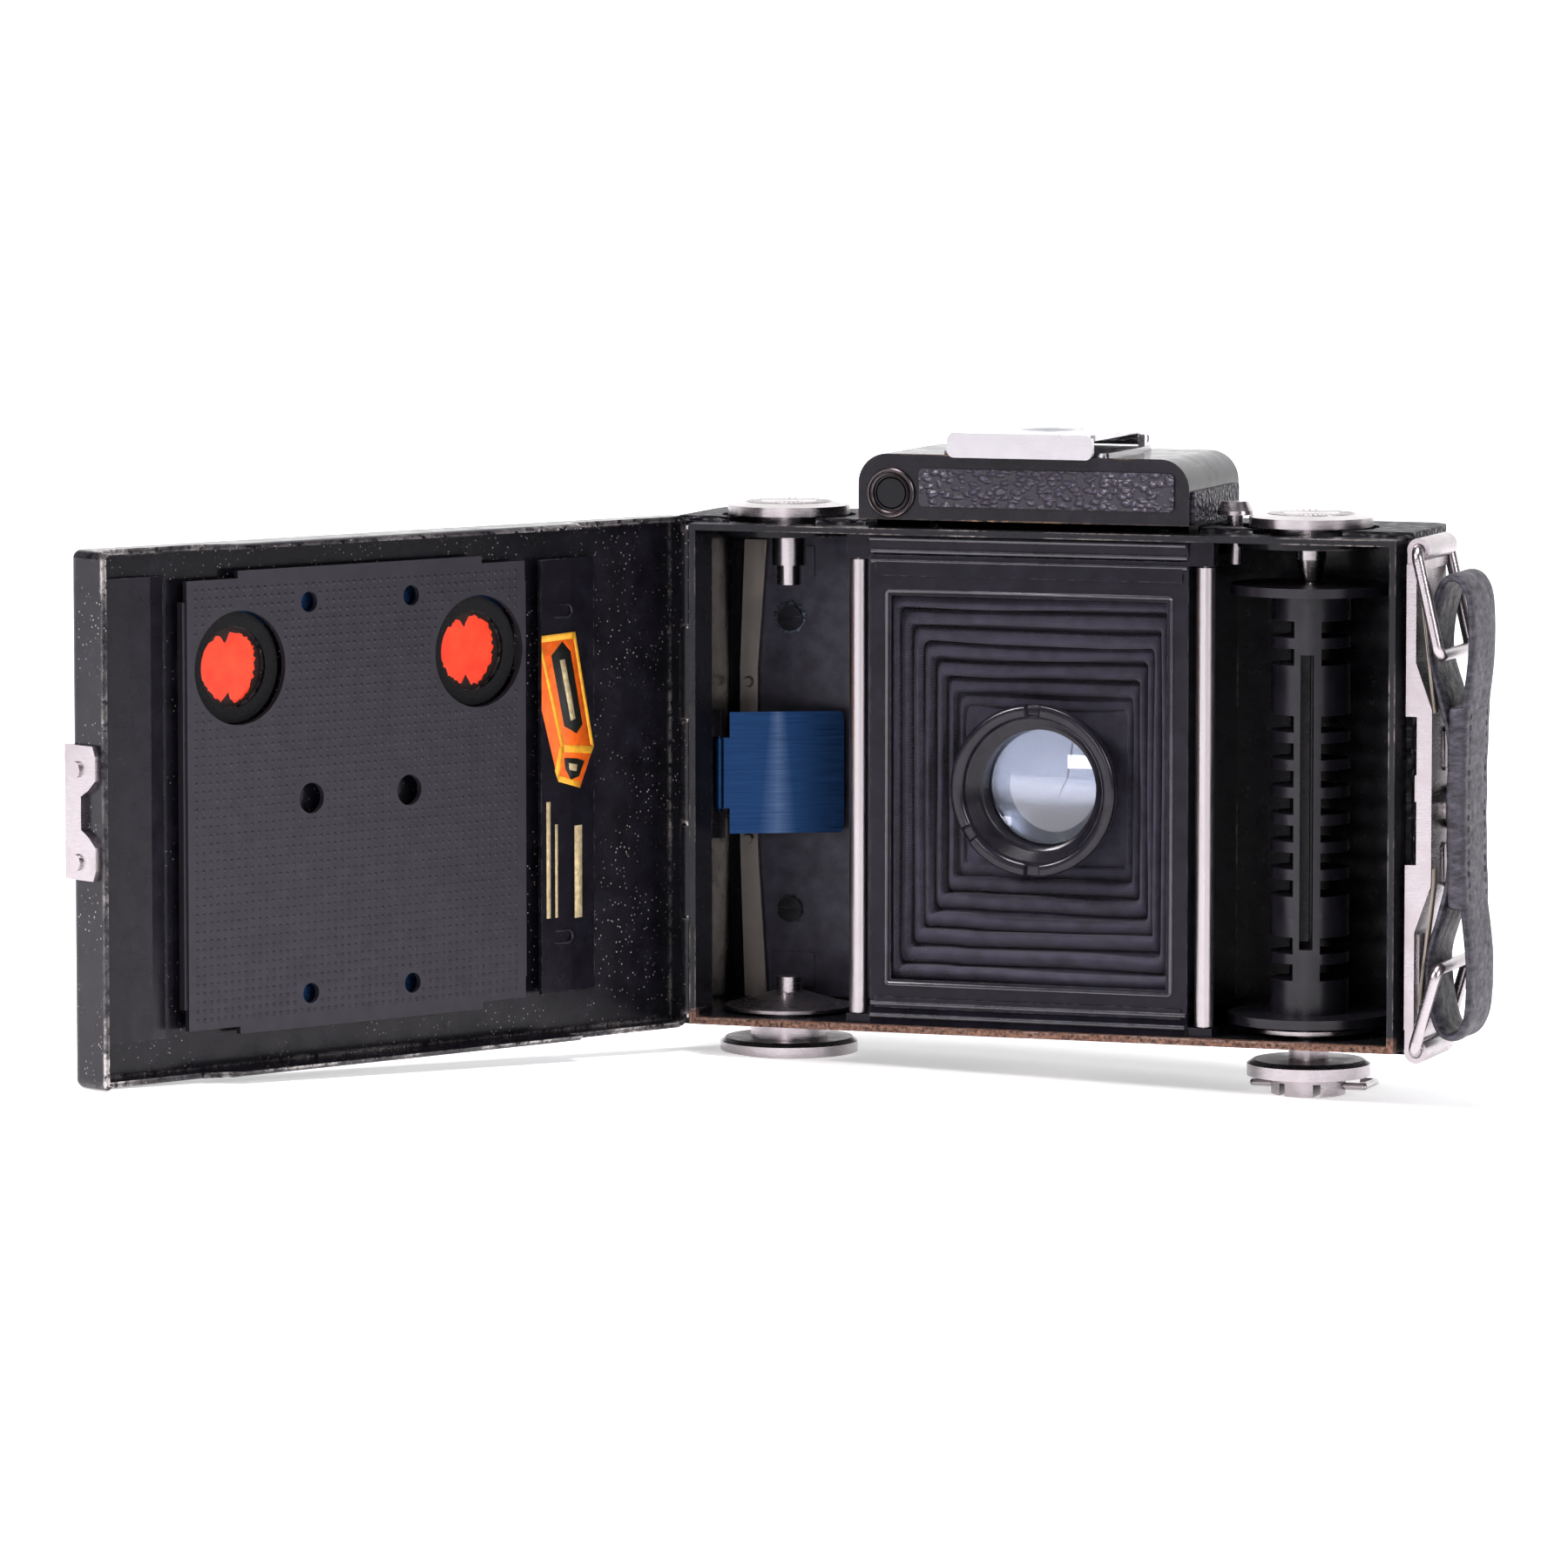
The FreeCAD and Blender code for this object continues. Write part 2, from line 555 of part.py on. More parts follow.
def make_door_catch():
    outline = [(-16, 29.5), (-16, 49), (-9.4, 49), (-8.8, 47.6), (-8.8, 44), (-10.4, 42.6),
               (-12.2, 41.6), (-12.2, 36.8), (-10.4, 35.8), (-8.8, 34.4), (-8.8, 31), (-9.4, 29.5)]
    plate = prism("x", "door_right", "door_right + 0.9", outline)
    rivets = [rod("x", (-13.2, z), "door_right + 0.8", "door_right + 1.3", 1.2) for z in (32, 45.4)]
    return add_on_door("door_catch", fuse(plate, *rivets))


# ---------------------------------------------------------------- rangefinder housing and finder

def make_housing():
    block = prism("y", "house_rear", "house_front",
                  [("house_left", "body_top"), ("house_right", "body_top"), ("house_right", "house_top"),
                   ("house_left", "house_top")])
    soften(block, "house_round", along("y", ("house_left", "house_top"), ("house_right", "house_top")))
    inside = box("house_left + 1.4", "house_right - 1.4", "house_rear + 1.2", "house_front - 1.2", 75,
                 "house_top - 1.4")
    return add("rangefinder_housing", cut(
        block, inside, box(-40, 40, "house_rear - 1", "lip_end + 0.2", 75, "door_high + 0.3"),
        rod("y", ("eyepiece_x", "eyepiece_z"), -14, -8, 3.3),
        rod("y", ("eyepiece_x", "eyepiece_z"), 8, 15, 3.2), rod("y", (15, 81.6), 8, 15, 3.2)))


def make_housing_leather():
    rear = rounded("y", -17.2, 22.7, "house_rear - 0.45", "house_rear", 79.4, 85.1, 0.8)
    front = rounded("y", -15.5, 9.5, "house_front", "house_front + 0.45", 78.2, 85.1, 0.8)
    end = rounded("x", "house_right", "house_right + 0.45", -10.8, 12.3, 77.4, 82.4, 0.8)
    return add("housing_leather", group(rear, front, end))


def make_eyepiece():
    at = ("eyepiece_x", "eyepiece_z")
    return add("eyepiece_ring", cut(
        fuse(rod("y", at, -12.7, -12, 3.8), rod("y", at, -12.3, -9.2, 3.25)),
        rod("y", at, -13, -11.4, 2.6), rod("y", at, -14, -8, 2.2)))


def make_window_glasses():
    """The eyepiece glass and the two front windows of the housing."""
    return add("window_glasses", group(
        rod("y", ("eyepiece_x", "eyepiece_z"), -12.1, -11.42, 2.58),
        rod("y", ("eyepiece_x", "eyepiece_z"), "house_front - 1", "house_front - 0.2", 3.15),
        rod("y", (15, 81.6), "house_front - 1", "house_front - 0.2", 3.15)))


def make_finder_base():
    ears = [box(x0, x1, 8.4, 11.6, "house_top", 89.6) for x0, x1 in ((-13.7, -12.7), (10.7, 11.7))]
    rear_ears = [box(x0, x1, -9.9, -7.1, "house_top", 89.4) for x0, x1 in ((-8.2, -7.2), (5.2, 6.2))]
    plate = rounded("z", -14, 12, -11, 12, "house_top", 87.8, 1.2)
    return add("finder_base", cut(fuse(plate, *ears, *rear_ears),
                                  rod("x", (10, 88.9), -20, 20, 0.56),
                                  rod("x", (-8.5, 88.7), -20, 20, 0.56)))


def make_front_finder():
    """The front sight, folded back flat over the rear one."""
    flap = rounded("z", -12.4, 10.4, -12.9, 10.9, 89.7, 90.6, 1.5)
    band = rounded("y", -12.4, 10.4, -13.6, -12.7, 86.9, 90.6, 1.1)
    knuckle = rod("x", (10, 88.9), -12.4, 10.4, 0.95)
    link = box(-12.4, 10.4, 9.2, 10.8, 88.9, 90)
    opening = rod("z", (-0.9, 0.6), 88, 92, 5.3)
    pin = rod("x", (10, 88.9), -13.6, 11.6, 0.5)
    return add("front_finder_frame", fuse(cut(fuse(flap, band, knuckle, link), opening), pin))


def make_finder_lens():
    return add("finder_lens", fuse(rod("z", (-0.9, 0.6), 89.75, 90.55, 5.28),
                                   cone("z", (-0.9, 0.6), 90.55, 91.1, 5.1, 3.2)))


def make_rear_finder():
    sight = rounded("z", -6.8, 4.8, -8.4, 0.4, 88.35, 89, 1)
    knuckle = rod("x", (-8.5, 88.7), -6.8, 4.8, 0.72)
    pin = rod("x", (-8.5, 88.7), -8.1, 6.1, 0.5)
    return add("rear_finder_frame", fuse(cut(sight, rod("z", (-1, -3.6), 88, 90, 2)), knuckle, pin))


def make_bed_release_button():
    return add("bed_release_button", fuse(rod("z", RELEASE, 71, 78.5, 1.2), rod("z", RELEASE, 78.4, 79, 2.7),
                                          cone("z", RELEASE, 79, 80.4, 2.7, 2)))


# ---------------------------------------------------------------- side plate, latch and strap

def side_outline(inset):
    """The bowed profile of the side plate, seen from behind."""
    x0 = "side_inner"
    return [(x0, f"side_low + {inset}"), (f"side_outer - {inset}", f"side_low + {inset}"),
            (f"side_outer - {inset}", 18), (f"side_crown - {inset}", 25), (f"side_crown - {inset}", 51),
            (f"side_outer - {inset}", 58), (f"side_outer - {inset}", f"side_high - {inset}"),
            (x0, f"side_high - {inset}")]


def make_side_plate():
    cover = prism("y", "side_rear", "side_front", side_outline(0))
    inside = prism("y", "side_rear + 0.8", "side_front - 0.8",
                   [(a.replace("side_inner", "side_inner - 1"), b) for a, b in side_outline(0.7)])
    knuckles = [rod("y", ("ring_x", z), y0, y1, 1.75) for z in ("ring_top_z", "ring_low_z")
                for y0, y1 in (("side_rear + 0.4", "side_front - 0.4"),)]
    webs = [box("side_inner", "ring_x + 0.3", "side_rear + 0.4", "side_front - 0.4", z0, z1)
            for z0, z1 in (("side_high - 1", "ring_top_z"), ("ring_low_z", "side_low + 1"))]
    bores = [rod("y", ("ring_x", z), -15, 10, "ring_wire + 0.06") for z in ("ring_top_z", "ring_low_z")]
    ribs = [box("side_outer - 0.3", "side_outer + 0.25", y, y + 0.5, "side_low + 1.5", 17.5)
            for y in (-10, -8.6, -7.2)]
    return add("side_plate", cut(
        fuse(cut(cover, inside), *knuckles, *webs, *ribs), *bores,
        box("side_inner - 1", 60.2, "side_rear - 1", -8.2, 28, 50),
        rod("x", (-2.6, 36), 58, 64, 3.4)))


def make_latch_button():
    at = (-2.6, 36)
    return add("latch_button", fuse(rod("x", at, 60.4, 63, 3.3), rod("x", at, 62.9, 63.5, 2.5),
                                    rod("x", at, 60.2, 60.5, 4)))


def make_latch_hook():
    return add("latch_hook", fuse(box(59.6, 60.2, -8.4, -3, 33, 39), box(59.6, 60.2, -10.8, -7.9, 37.3, 41.2),
                                  box(59.6, 61.2, -10.8, -9.8, 37.3, 41.2)))


def ring_shape(pivot_z, reach, lean):
    """A rectangular wire ring that leans outwards away from its knuckle."""
    x, rear, front = number("ring_x"), number("side_rear") - 0.9, number("side_front") + 0.9
    z = number(pivot_z)
    corners = [Vector(x, rear, z), Vector(x, front, z), Vector(x + lean, front, z + reach),
               Vector(x + lean, rear, z + reach)]
    return tube_path(corners, number("ring_wire"), 1.6)


def make_rings():
    add("strap_ring_top", from_shape(ring_shape("ring_top_z", -15.5, 3.6)))
    add("strap_ring_bottom", from_shape(ring_shape("ring_low_z", 12.5, 3.6)))


def make_hand_strap():
    """A leather strap whose two ends loop round the rings and are stitched flat between."""
    middle = 36.4
    outer_half = [(67.2, 0), (67.7, 14), (68.6, 24), (68.4, 31), (67, 34.2), (65, 35), (62.8, 33.6),
                  (61.2, 28), (60.9, 22), (63.2, 15.6), (64.4, 11)]
    hole_half = [(65.7, 15.5), (67.1, 24), (67, 30), (66, 32.4), (64.8, 33.2), (63.6, 31.8), (62.6, 27.6),
                 (62.3, 22.5), (64.3, 17)]
    outline = [(x, middle + z) for x, z in outer_half]
    outline += [(x, middle - z) for x, z in reversed(outer_half[1:])]
    holes = [prism("y", -13, 5, [(x, middle + side * z) for x, z in hole_half]) for side in (-1, 1)]
    return add("hand_strap", cut(prism("y", "strap_rear", "strap_front", outline), *holes))


# ---------------------------------------------------------------- lens bed

STRUT_PIVOT = (17.5, 46)


def make_bed():
    tray = cut(rounded("y", "-bed_half", "bed_half", "body_front + 1", "bed_inside + bed_thick", "bed_low",
                       "bed_high", 3),
               rounded("y", "bed_thick - bed_half", "bed_half - bed_thick", "body_front", "bed_inside",
                       "bed_low + bed_thick", "bed_high - bed_thick", 2.2),
               box(-40, 40, "body_front", "bed_inside - 0.01", -2, "bed_hinge_z + 2.4"))
    tubes = [rod("x", ("bed_hinge_y", "bed_hinge_z"), x0, x1, "bed_knuckle")
             for x0, x1 in ((-9.8, 9.8), (-27, -22.4), (22.4, 27))]
    webs = [box(x0, x1, "bed_hinge_y", "bed_inside + 0.2", "bed_hinge_z - 0.6", "bed_hinge_z + 1.3")
            for x0, x1 in ((-9.8, 9.8), (-27, -22.4), (22.4, 27))]
    catch = box(26, 28.4, "body_front + 1.2", "bed_inside + 0.2", 69.5, 70.6)
    brackets = [box(x0, x1, STRUT_PIVOT[0] - 1.2, "bed_inside + 0.2", 44.4, 47.6)
                for x0, x1 in ((-22.2, -20.9), (20.9, 22.2))]
    pins = [rod("x", STRUT_PIVOT, x0, x1, 0.62) for x0, x1 in ((-23.6, -21), (21, 23.6))]
    return add("lens_bed", cut(fuse(tray, *tubes, *webs, catch, *brackets, *pins),
                               rod("x", ("bed_hinge_y", "bed_hinge_z"), -30, 30, "bed_pin + 0.05")))


def make_bed_leather():
    return add("lens_bed_leather", rounded("y", "2 - bed_half", "bed_half - 2", "bed_inside + bed_thick",
                                           "bed_inside + bed_thick + 0.7", "bed_low + 3", "bed_high - 2",
                                           2.4))


def make_bed_pin():
    return add("bed_hinge_pin", rod("x", ("bed_hinge_y", "bed_hinge_z"), -27.2, 27.2, "bed_pin"))


# ---------------------------------------------------------------- lens unit

LENS = (0, "lens_z")


def make_bellows():
    """The folded bellows, as nested frames that step towards the lens."""
    folds = []
    count = 7
    for i in range(count):
        half_w = 22.6 - 1.45 * i
        half_h = 29.4 - 2.6 * i
        y0 = -10.5 + 1.15 * i
        frame = cut(rounded("y", -half_w, half_w, y0, y0 + 1.35, f"lens_z - {half_h}",
                            f"lens_z + {half_h}", 1.2),
                    box(-half_w + 1.9, half_w - 1.9, y0 - 1, y0 + 3, f"lens_z - {half_h - 3}",
                        f"lens_z + {half_h - 3}"))
        folds.append(frame)
    return add("bellows", fuse(*folds))


def make_lens_board():
    board = rounded("y", "-board_half", "board_half", "board_y", "board_y + 1", "lens_z - 24",
                    "lens_z + 24", 2)
    foot = box(-10, 10, "board_y", "board_y + 3", "lens_z - 25", "lens_z - 24")
    return add("lens_standard", cut(fuse(board, foot), rod("y", LENS, -3, 5, 11)))


def make_rear_ring():
    """The slotted retaining ring and rear cell tube that hold the lens in the standard."""
    ring = fuse(rod("y", LENS, -10.3, -8.3, 13), rod("y", LENS, -8.4, "board_y", 10.4),
                rod("y", LENS, "board_y - 0.1", 0.9, 10.9))
    notches = [box(-1, 1, -11, -9.4, "lens_z - 14", "lens_z - 10.6"),
               box(-1, 1, -11, -9.4, "lens_z + 10.6", "lens_z + 14")]
    return add("lens_retaining_ring", cut(ring, cone("y", LENS, -11, -7.6, 10.7, 8.9),
                                          rod("y", LENS, -8, 2, 8.9), *notches))


def make_rear_glass():
    lens = fuse(rod("y", LENS, -3.6, -1.6, 8.75), cone("y", LENS, -4.2, -3.6, 6.6, 8.75))
    return add("rear_lens", lens)


def make_shutter_case():
    case = cut(rod("y", LENS, 0.6, 8.6, "case_radius"), rod("y", LENS, 0.9, 3, 18.6),
               rod("y", LENS, -1, 10, 9.2))
    return add("shutter_case", cut(case, rod("y", LENS, -1, 1, 11.05)))


def make_focus_ring():
    ring = cut(rod("y", LENS, 8.9, 12.4, 15), rod("y", LENS, 8, 13, 9.4))
    grip = []
    for i in range(24):
        angle = math.radians(15 * i)
        grip.append(rod("y", (15.2 * math.cos(angle), f"lens_z + {15.2 * math.sin(angle)}"), 9.4, 11.9, 0.6))
    return add("focus_ring", cut(ring, *grip))


def make_front_cell():
    cell = cut(fuse(rod("y", LENS, 8.6, 14.4, 9.2)), cone("y", LENS, 12.4, 14.5, 6.8, 8.4),
               rod("y", LENS, 8, 13, 6.8))
    return add("front_lens_cell", cell)


def make_front_glass():
    return add("front_lens", fuse(rod("y", LENS, 9.4, 11.4, 6.7), cone("y", LENS, 11.4, 12.1, 6.7, 4.6)))


BLADE_COUNT = 5
BLADE_PIVOT = 13.2


def make_shutter_blades():
    """Five thin leaves, each on its own pivot and at its own level, that meet in the middle."""
    for i in range(BLADE_COUNT):
        turn = FreeCAD.Rotation(Vector(0, 1, 0), 360 / BLADE_COUNT * i)
        level = 1.1 + 0.3 * i
        leaf = prism("y", 0, 0.15, [(-1.2, 1.6 + BLADE_PIVOT), (-8.8, 9), (-11.4, 1.5), (-9, -4.2),
                                    (0.6, -1.5), (1.8, 1), (2.6, 7), (1.8, BLADE_PIVOT),
                                    (1.2, 1.6 + BLADE_PIVOT)])
        leaf_with_hole = cut(leaf, rod("y", (0, BLADE_PIVOT), -1, 1, 0.55))
        held = group(leaf_with_hole)
        held.Placement = FreeCAD.Placement(Vector(0, level, number("lens_z")), turn)
        add(f"shutter_blade_{i + 1}", held)


def make_cocking_lever():
    ring = cut(rod("y", LENS, 8.75, 9.5, 17.6), rod("y", LENS, 8, 10, 16.4))
    arm = box(17, 21.2, 8.75, 9.5, "lens_z - 1", "lens_z + 1")
    return add("cocking_lever", fuse(ring, arm, rod("y", (20.6, "lens_z"), 8.75, 11.4, 1)))


def make_struts():
    """The side struts, folded down along the shut bed."""
    pivot_y, pivot_z = STRUT_PIVOT
    for label, side in (("strut_left", -1), ("strut_right", 1)):
        x0, x1 = sorted((side * 22.4, side * 23.3))
        bar = rounded("x", x0, x1, pivot_y - 1.15, pivot_y + 1.15, pivot_z - 36, pivot_z + 1.15, 1.1)
        add(label, cut(bar, rod("x", STRUT_PIVOT, -30, 30, 0.68), rod("x", (pivot_y, pivot_z - 34.8), -30, 30,
                                                                     0.6)))


def build():
    make_body_shell()
    make_body_leather()
    make_film_gate()
    make_tripod_bush()
    make_roller("roller_left", "roller_left_x")
    make_roller("roller_right", "roller_right_x")
    make_guide_strip()
    make_chamber_screws()
    make_spring_bracket()
    make_film_spring()
    make_top_knob("top_left_knob", "supply_x", [(73, 75.5, 2.6, 2.6), (69.2, 73, 2.6, 2.6),
                                                 (66.2, 69.2, 1.85, 1.85)])
    make_top_knob("top_right_knob", "takeup_x", [(72, 75.5, 2.25, 2.25), (68.6, 72, 1.5, 2.25),
                                                  (64.6, 68.7, 1.5, 1.5)])
    make_lower_left_pivot()
    make_winding_key()
    make_key_wing()
    make_drive_disc()
    make_take_up_spool()
    make_door_shell()
    make_door_pin()
    make_door_leather()
    make_red_windows()
    make_guide_sheet()
    make_free_end_sheet()
    make_plate_springs()
    make_pressure_plate()
    make_door_catch()
    make_housing()
    make_housing_leather()
    make_eyepiece()
    make_window_glasses()
    make_finder_base()
    make_front_finder()
    make_finder_lens()
    make_rear_finder()
    make_bed_release_button()
    make_side_plate()
    make_latch_button()
    make_latch_hook()
    make_rings()
    make_hand_strap()
    make_bed()
    make_bed_leather()
    make_bed_pin()
    make_bellows()
    make_lens_board()
    make_rear_ring()
    make_rear_glass()
    make_shutter_case()
    make_focus_ring()
    make_front_cell()
    make_front_glass()
    make_shutter_blades()
    make_cocking_lever()
    make_struts()


def check_and_write():
    doc.recompute()
    failed = [o.Label for o in doc.Objects if "Invalid" in o.State or "Error" in o.State]
    failed += [p.Label for p in parts if p.Shape.isNull() or not p.Shape.isValid()]
    if failed:
        raise SystemExit("failed: " + ", ".join(failed))
    os.makedirs("parts", exist_ok=True)
    for part in parts:
        part.Shape.exportStep(f"parts/{part.Label}.step")
    print(len(parts), "sub-parts written")


build()
check_and_write()
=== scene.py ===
"""Looks of the folding camera: folded, back door open, on a white studio sweep. Metres, row frame."""
import bmesh
import bpy
import json
import math
import random
from mathutils import Matrix, Vector


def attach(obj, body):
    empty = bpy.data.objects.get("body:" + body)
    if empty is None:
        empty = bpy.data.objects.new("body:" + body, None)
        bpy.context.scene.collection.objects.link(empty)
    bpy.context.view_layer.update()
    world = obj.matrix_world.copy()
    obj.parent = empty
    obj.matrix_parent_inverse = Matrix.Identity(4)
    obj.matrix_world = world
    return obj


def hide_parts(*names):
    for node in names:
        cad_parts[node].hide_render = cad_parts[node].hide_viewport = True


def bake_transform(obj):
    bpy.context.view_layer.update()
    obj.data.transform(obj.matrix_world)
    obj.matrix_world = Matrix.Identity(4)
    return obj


MM = 0.001
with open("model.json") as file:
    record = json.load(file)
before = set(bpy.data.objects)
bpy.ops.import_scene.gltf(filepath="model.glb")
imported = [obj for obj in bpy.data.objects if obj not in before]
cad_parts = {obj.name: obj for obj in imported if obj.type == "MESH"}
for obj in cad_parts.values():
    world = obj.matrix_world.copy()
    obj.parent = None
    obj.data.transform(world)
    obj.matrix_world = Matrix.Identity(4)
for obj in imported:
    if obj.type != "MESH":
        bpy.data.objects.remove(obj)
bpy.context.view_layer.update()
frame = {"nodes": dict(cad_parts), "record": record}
NODES = frame["nodes"]
JOINTS = {joint["name"]: joint for joint in frame["record"]["behaviour"]["joints"]}
rng = random.Random(7)


def door_placement():
    """From the door as if shut to the door as it stands open."""
    joint = JOINTS["door_hinge"]
    pivot = Vector(joint["pos_m"])
    swing = Matrix.Rotation(-math.radians(joint["range_deg"][1]), 4, "Z")
    return Matrix.Translation(pivot) @ swing @ Matrix.Translation(-pivot)


# ------------------------------------------------------------------ node helpers

class Shader:
    """A material under construction: its nodes, and the object coordinates in millimetres."""

    def __init__(self, name, colour, roughness, metallic=0.0, **sockets):
        self.material = bpy.data.materials.new(name)
        self.material.use_nodes = True
        self.tree = self.material.node_tree
        self.bsdf = self.tree.nodes["Principled BSDF"]
        self.set(self.bsdf, "Base Color", (*colour, 1))
        self.set(self.bsdf, "Roughness", roughness)
        self.set(self.bsdf, "Metallic", metallic)
        for socket, value in sockets.items():
            self.set(self.bsdf, socket.replace("_", " "), value)
        coordinates = self.node("TexCoord")
        self.mm = self.node("VectorMath", operation="SCALE")
        self.link(coordinates.outputs["Object"], self.mm.inputs[0])
        self.mm.inputs["Scale"].default_value = 1 / MM
        self.mm = self.mm.outputs[0]

    def node(self, kind, **settings):
        made = self.tree.nodes.new("ShaderNode" + kind)
        for key, value in settings.items():
            setattr(made, key, value)
        return made

    def link(self, output, target):
        self.tree.links.new(output, target)

    @staticmethod
    def set(node, socket, value):
        node.inputs[socket].default_value = value

    def stretched(self, scale, turn=(0, 0, 0)):
        mapping = self.node("Mapping")
        self.link(self.mm, mapping.inputs["Vector"])
        self.set(mapping, "Scale", scale)
        self.set(mapping, "Rotation", turn)
        return mapping.outputs[0]

    def noise(self, scale, detail=3, roughness=0.55, vector=None, distortion=0.0):
        made = self.node("TexNoise")
        self.link(vector or self.mm, made.inputs["Vector"])
        self.set(made, "Scale", scale)
        self.set(made, "Detail", detail)
        self.set(made, "Roughness", roughness)
        self.set(made, "Distortion", distortion)
        return made.outputs["Fac"]

    def cells(self, scale, vector=None, feature="F1"):
        made = self.node("TexVoronoi", feature=feature)
        self.link(vector or self.mm, made.inputs["Vector"])
        self.set(made, "Scale", scale)
        return made.outputs["Distance"]

    def wave(self, scale, direction, distortion=0.0, vector=None):
        made = self.node("TexWave", bands_direction=direction)
        self.link(vector or self.mm, made.inputs["Vector"])
        self.set(made, "Scale", scale)
        self.set(made, "Distortion", distortion)
        return made.outputs["Fac"]

    def math(self, operation, a, b=0.0, clamp=False):
        made = self.node("Math", operation=operation, use_clamp=clamp)
        for socket, value in zip(made.inputs, (a, b)):
            if isinstance(value, (int, float)):
                socket.default_value = value
            else:
                self.link(value, socket)
        return made.outputs[0]

    def ramp(self, source, low, high, start=0.0, end=1.0):
        made = self.node("MapRange")
        self.link(source, made.inputs["Value"])
        for socket, value in (("From Min", low), ("From Max", high), ("To Min", start), ("To Max", end)):
            self.set(made, socket, value)
        return made.outputs["Result"]

    def mix(self, factor, first, second):
        made = self.node("Mix", data_type="RGBA")
        self.link(factor, made.inputs["Factor"])
        a, b = [s for s in made.inputs if s.type == "RGBA"]
        for socket, value in ((a, first), (b, second)):
            if isinstance(value, tuple):
                socket.default_value = (*value, 1)
            else:
                self.link(value, socket)
        return [s for s in made.outputs if s.type == "RGBA"][0]

    def colour(self, source):
        self.link(source, self.bsdf.inputs["Base Color"])

    def drive(self, socket, source):
        self.link(source, self.bsdf.inputs[socket])

    def bump(self, height, distance_mm, strength=1.0):
        made = self.node("Bump")
        self.link(height, made.inputs["Height"])
        self.set(made, "Distance", distance_mm * MM)
        self.set(made, "Strength", strength)
        previous = self.bsdf.inputs["Normal"]
        if previous.links:
            self.link(previous.links[0].from_socket, made.inputs["Normal"])
        self.link(made.outputs["Normal"], previous)

    def edge_mask(self, radius_mm):
        """Near 1 along the edges of the piece, 0 on its flats."""
        bevel = self.node("Bevel", samples=6)
        self.set(bevel, "Radius", radius_mm * MM)
        flat = self.node("NewGeometry")
        dot = self.node("VectorMath", operation="DOT_PRODUCT")
        self.link(bevel.outputs[0], dot.inputs[0])
        self.link(flat.outputs["Normal"], dot.inputs[1])
        return self.ramp(dot.outputs["Value"], 0.995, 0.86)


# ------------------------------------------------------------------ materials

def shade(colour, strength):
    return tuple(channel * strength for channel in colour)


def enamel(name, colour=(0.008, 0.0075, 0.011), roughness=0.2, wear=0.6, bare=(0.5, 0.47, 0.43), dust=0.0,
           corners=(), edge_mm=0.5):
    """Glossy stove enamel, chipped to bare metal in stretches of its edges, with fine scratches and dust."""
    s = Shader(name, colour, roughness, Coat_Weight=0.12, Coat_Roughness=0.1, Specular_IOR_Level=0.32)
    stretches = s.ramp(s.noise(0.06, 3, 0.6), 0.5, 0.64)
    for corner, reach in corners:
        distance = s.node("VectorMath", operation="DISTANCE")
        s.link(s.mm, distance.inputs[0])
        distance.inputs[1].default_value = corner
        nearness = s.ramp(distance.outputs["Value"], reach, 0.3 * reach, 0.0, 1.6)
        stretches = s.math("MAXIMUM", stretches, nearness)
    chips = s.math("MULTIPLY", s.ramp(s.noise(0.7, 5, 0.7), 0.4, 0.6), s.math("ADD", stretches, 0.12))
    mask = s.math("MULTIPLY", s.math("MULTIPLY", s.edge_mask(edge_mm), chips), wear * 1.7, clamp=True)
    tone = s.mix(s.ramp(s.noise(0.25, 3), 0.35, 0.7), shade(colour, 0.7), shade(colour, 1.7))
    specks = s.math("MULTIPLY", s.ramp(s.cells(1.2), 0.2, 0.09), s.ramp(s.noise(0.1, 2), 0.42, 0.58))
    dusty = s.mix(s.math("MULTIPLY", specks, dust, clamp=True), tone, (0.42, 0.4, 0.37))
    s.colour(s.mix(mask, dusty, bare))
    s.drive("Metallic", mask)
    smear = s.ramp(s.noise(0.3, 4, 0.6), 0.3, 0.75, roughness * 0.8, roughness * 1.5)
    s.drive("Roughness", smear)
    s.bump(s.noise(1.2, 2), 0.006)
    s.bump(s.math("SUBTRACT", 1.0, mask), 0.03)
    return s.material


def rusty_enamel(name):
    """Enamel worn to a rust-brown strip along the bottom rim, and chipped on its outer edges."""
    s = Shader(name, (0.008, 0.008, 0.01), 0.2, Coat_Weight=0.1, Coat_Roughness=0.1, Specular_IOR_Level=0.32)
    split = s.node("SeparateXYZ")
    s.link(s.mm, split.inputs[0])
    x, y, z = split.outputs
    low = s.math("MULTIPLY", s.ramp(z, 2.6, 1.6), s.ramp(y, -11.8, -13.0))
    edge = s.edge_mask(0.45)
    grain = s.noise(1.5, 6, 0.75)
    rust = s.math("MULTIPLY", low, s.ramp(grain, 0.36, 0.46), clamp=True)
    stretches = s.ramp(s.noise(0.07, 3, 0.6), 0.47, 0.6)
    chips = s.math("MULTIPLY", s.math("MULTIPLY", edge, stretches), s.ramp(s.noise(0.8, 5, 0.7), 0.38, 0.58),
                   clamp=True)
    brown = s.mix(s.ramp(grain, 0.42, 0.68), (0.07, 0.035, 0.022), (0.3, 0.17, 0.12))
    body = s.mix(rust, s.mix(s.noise(0.3), (0.006, 0.006, 0.008), (0.013, 0.013, 0.016)), brown)
    s.colour(s.mix(chips, body, (0.36, 0.33, 0.31)))
    s.drive("Metallic", s.math("MULTIPLY", chips, 0.7))
    s.drive("Roughness", s.math("ADD", s.math("MULTIPLY", rust, 0.5),
                                s.ramp(s.noise(0.4, 4), 0.3, 0.7, 0.16, 0.3)))
    s.bump(s.math("MULTIPLY", grain, rust), 0.14)
    s.bump(s.noise(1.5, 2), 0.006)
    return s.material


